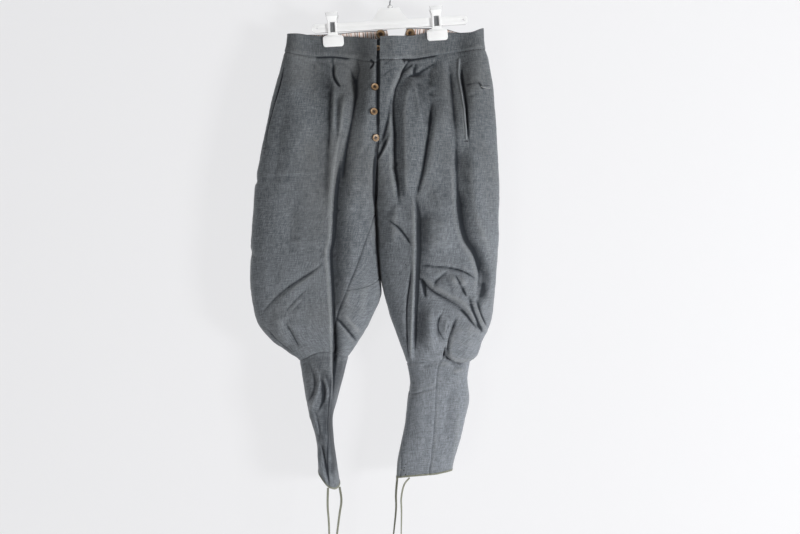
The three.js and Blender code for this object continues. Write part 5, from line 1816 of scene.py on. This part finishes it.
# the end of the fly, a stitched buttonhole and the marks beside it
for k in range(6):
    point, normal = spot(panels["front_right"], -27.5, 346 + k * 1.1, 0.4)
    darkStitches.add(point, np.array([1.0, 0, 0.1]), normal, 4.4, 0.9)
buttonhole = along([(-41, 168), (-37, 172), (-34.6, 177), (-35.5, 182), (-39, 187)], 0.9)
for k, (x, drop) in enumerate(buttonhole):
    for shift in (-1.1, 1.1):
        point, normal = spot(panels["front_right"], x + shift, drop, 0.25)
        darkStitches.add(point, np.array([1.0, 0, 0.15]), normal, 1.9, 0.7)
darkStitches.route(panels["front_right"], [(-40, 188), (-40.5, 198), (-40, 206)], 2.4, 1.6, 0.8)
for x, drop in ((-1, 171.5), (-13.2, 184.6), (-3, 173.5), (20, 590), (31, 573)):
    point, normal = spot(panels["front_left"], x, drop, 0.2)
    darkStitches.add(point, np.array([0.6, 0, 1.0]), normal, 2.8, 2.0)
# the mended tear beside the wearer's left pocket
for points, wide in (
        ([(151, 217), (160, 216), (170, 215), (177, 216)], 1.0),
        ([(176, 214), (178, 219), (181, 226)], 1.5),
        ([(178, 218), (184, 219), (190, 219), (197, 218)], 1.3)):
    darkStitches.route(panels["front_left"], points, 2.2, 3.0, wide)
# holes at the wearer's right knee and beside the left hem's slit, drawn as dark marks that stand for the
# shade seen through them
for panel, x, drop, long, wide in (
        (panels["calf_right_front"], -94, 764, 3.0, 2.4),
        (panels["calf_left_front"], 31.4, 969.5, 3.4, 2.4),
        (panels["calf_left_front"], 28.6, 976, 3.0, 2.2),
        (panels["calf_left_front"], 27.8, 982, 5.2, 2.6),
        (panels["calf_left_front"], 31, 990, 3.4, 2.6)):
    point, normal = spot(panel, x, drop, 0.2)
    darkStitches.add(point, np.array([0.35, 0, 1.0]), normal, long, wide)
darkStitches.finish("scene_dark_stitches", darkThread)

paleStitches = Stitches()
paleStitches.route(panels["front_left"], [(180, 222), (186, 223.5), (192, 224), (198, 223.5)], 2.0, 3.2, 1.2)
point, normal = spot(panels["calf_left_front"], 21.4, 981, 0.3)
paleStitches.add(point, np.array([0.0, 0, 1.0]), normal, 3.4, 3.2)
paleStitches.finish("scene_pale_stitches", paleThread)
print("stitches are made")


# Hanger: each solid's own shape, with its edges rounded
rims = {
    # how far a face turns from the front or back where its shade begins, is full, and is a side's
    "begins": 0.08,
    "full": 0.4,
    "side": 0.9,
    "sideShade": 0.5,
}


def shadeRims(piece):
    # painted shade: the moulding's rounded rims, and less so its sides, are painted greyer than its flat
    # faces
    layer = piece.data.attributes.new("rim", "FLOAT", "CORNER")
    for face in piece.data.polygons:
        turned = 1 - abs(face.normal.y)
        shade = min(max((turned - rims["begins"]) / (rims["full"] - rims["begins"]), 0), 1)
        shade *= rims["sideShade"] if turned > rims["side"] else 1
        for corner in face.loop_indices:
            layer.data[corner].value = shade


def dressed(node, material, slot, rounded, segments=2):
    # a copy of the solid, its doubles merged and its edges rounded
    source = bpy.data.objects[node]
    piece = bpy.data.objects.new("scene_" + node, source.data.copy())
    piece.data.transform(source.matrix_world)
    piece.data.name = "scene_" + node
    bpy.context.scene.collection.objects.link(piece)
    pickOnly(piece)
    bpy.ops.object.mode_set(mode="EDIT")
    bpy.ops.mesh.select_all(action="SELECT")
    bpy.ops.mesh.remove_doubles(threshold=0.01 * mm)
    bpy.ops.mesh.dissolve_limited(angle_limit=math.radians(3))
    bpy.ops.mesh.normals_make_consistent(inside=False)
    bpy.ops.object.mode_set(mode="OBJECT")
    if rounded:
        bevel = piece.modifiers.new("edges", "BEVEL")
        bevel.width = rounded * mm
        bevel.segments = segments
        bevel.limit_method = "ANGLE"
        bevel.angle_limit = math.radians(32)
        applyModifiers(piece)
    if slot == "plastic":
        shadeRims(piece)
    smooth(piece, 42)
    finishPiece(piece, material, slot, node)


dressed("hanger_bar", plastic, "plastic", rounded=1.3, segments=3)
dressed("hanger_collar", plastic, "plastic", rounded=0.3)
dressed("hanger_hook", steel, "steel", rounded=0)
for side in ("right", "left"):
    dressed("clip_front_" + side, plastic, "plastic", rounded=0.9)
    dressed("clip_back_" + side, plastic, "plastic", rounded=0.5)
    dressed("clip_spring_" + side, steel, "steel", rounded=0)
print("hanger is made")


# The size of each sheet of cloth laid flat
for name, panel in panels.items():
    width, length, area = flatSize(panel.points)
    print("sheet", name, round(width, 3), round(length, 3), round(area, 4))
width, length, area = flatSize(standRows)
print("sheet fly_stand", round(width, 3), round(length, 3), round(area, 4))
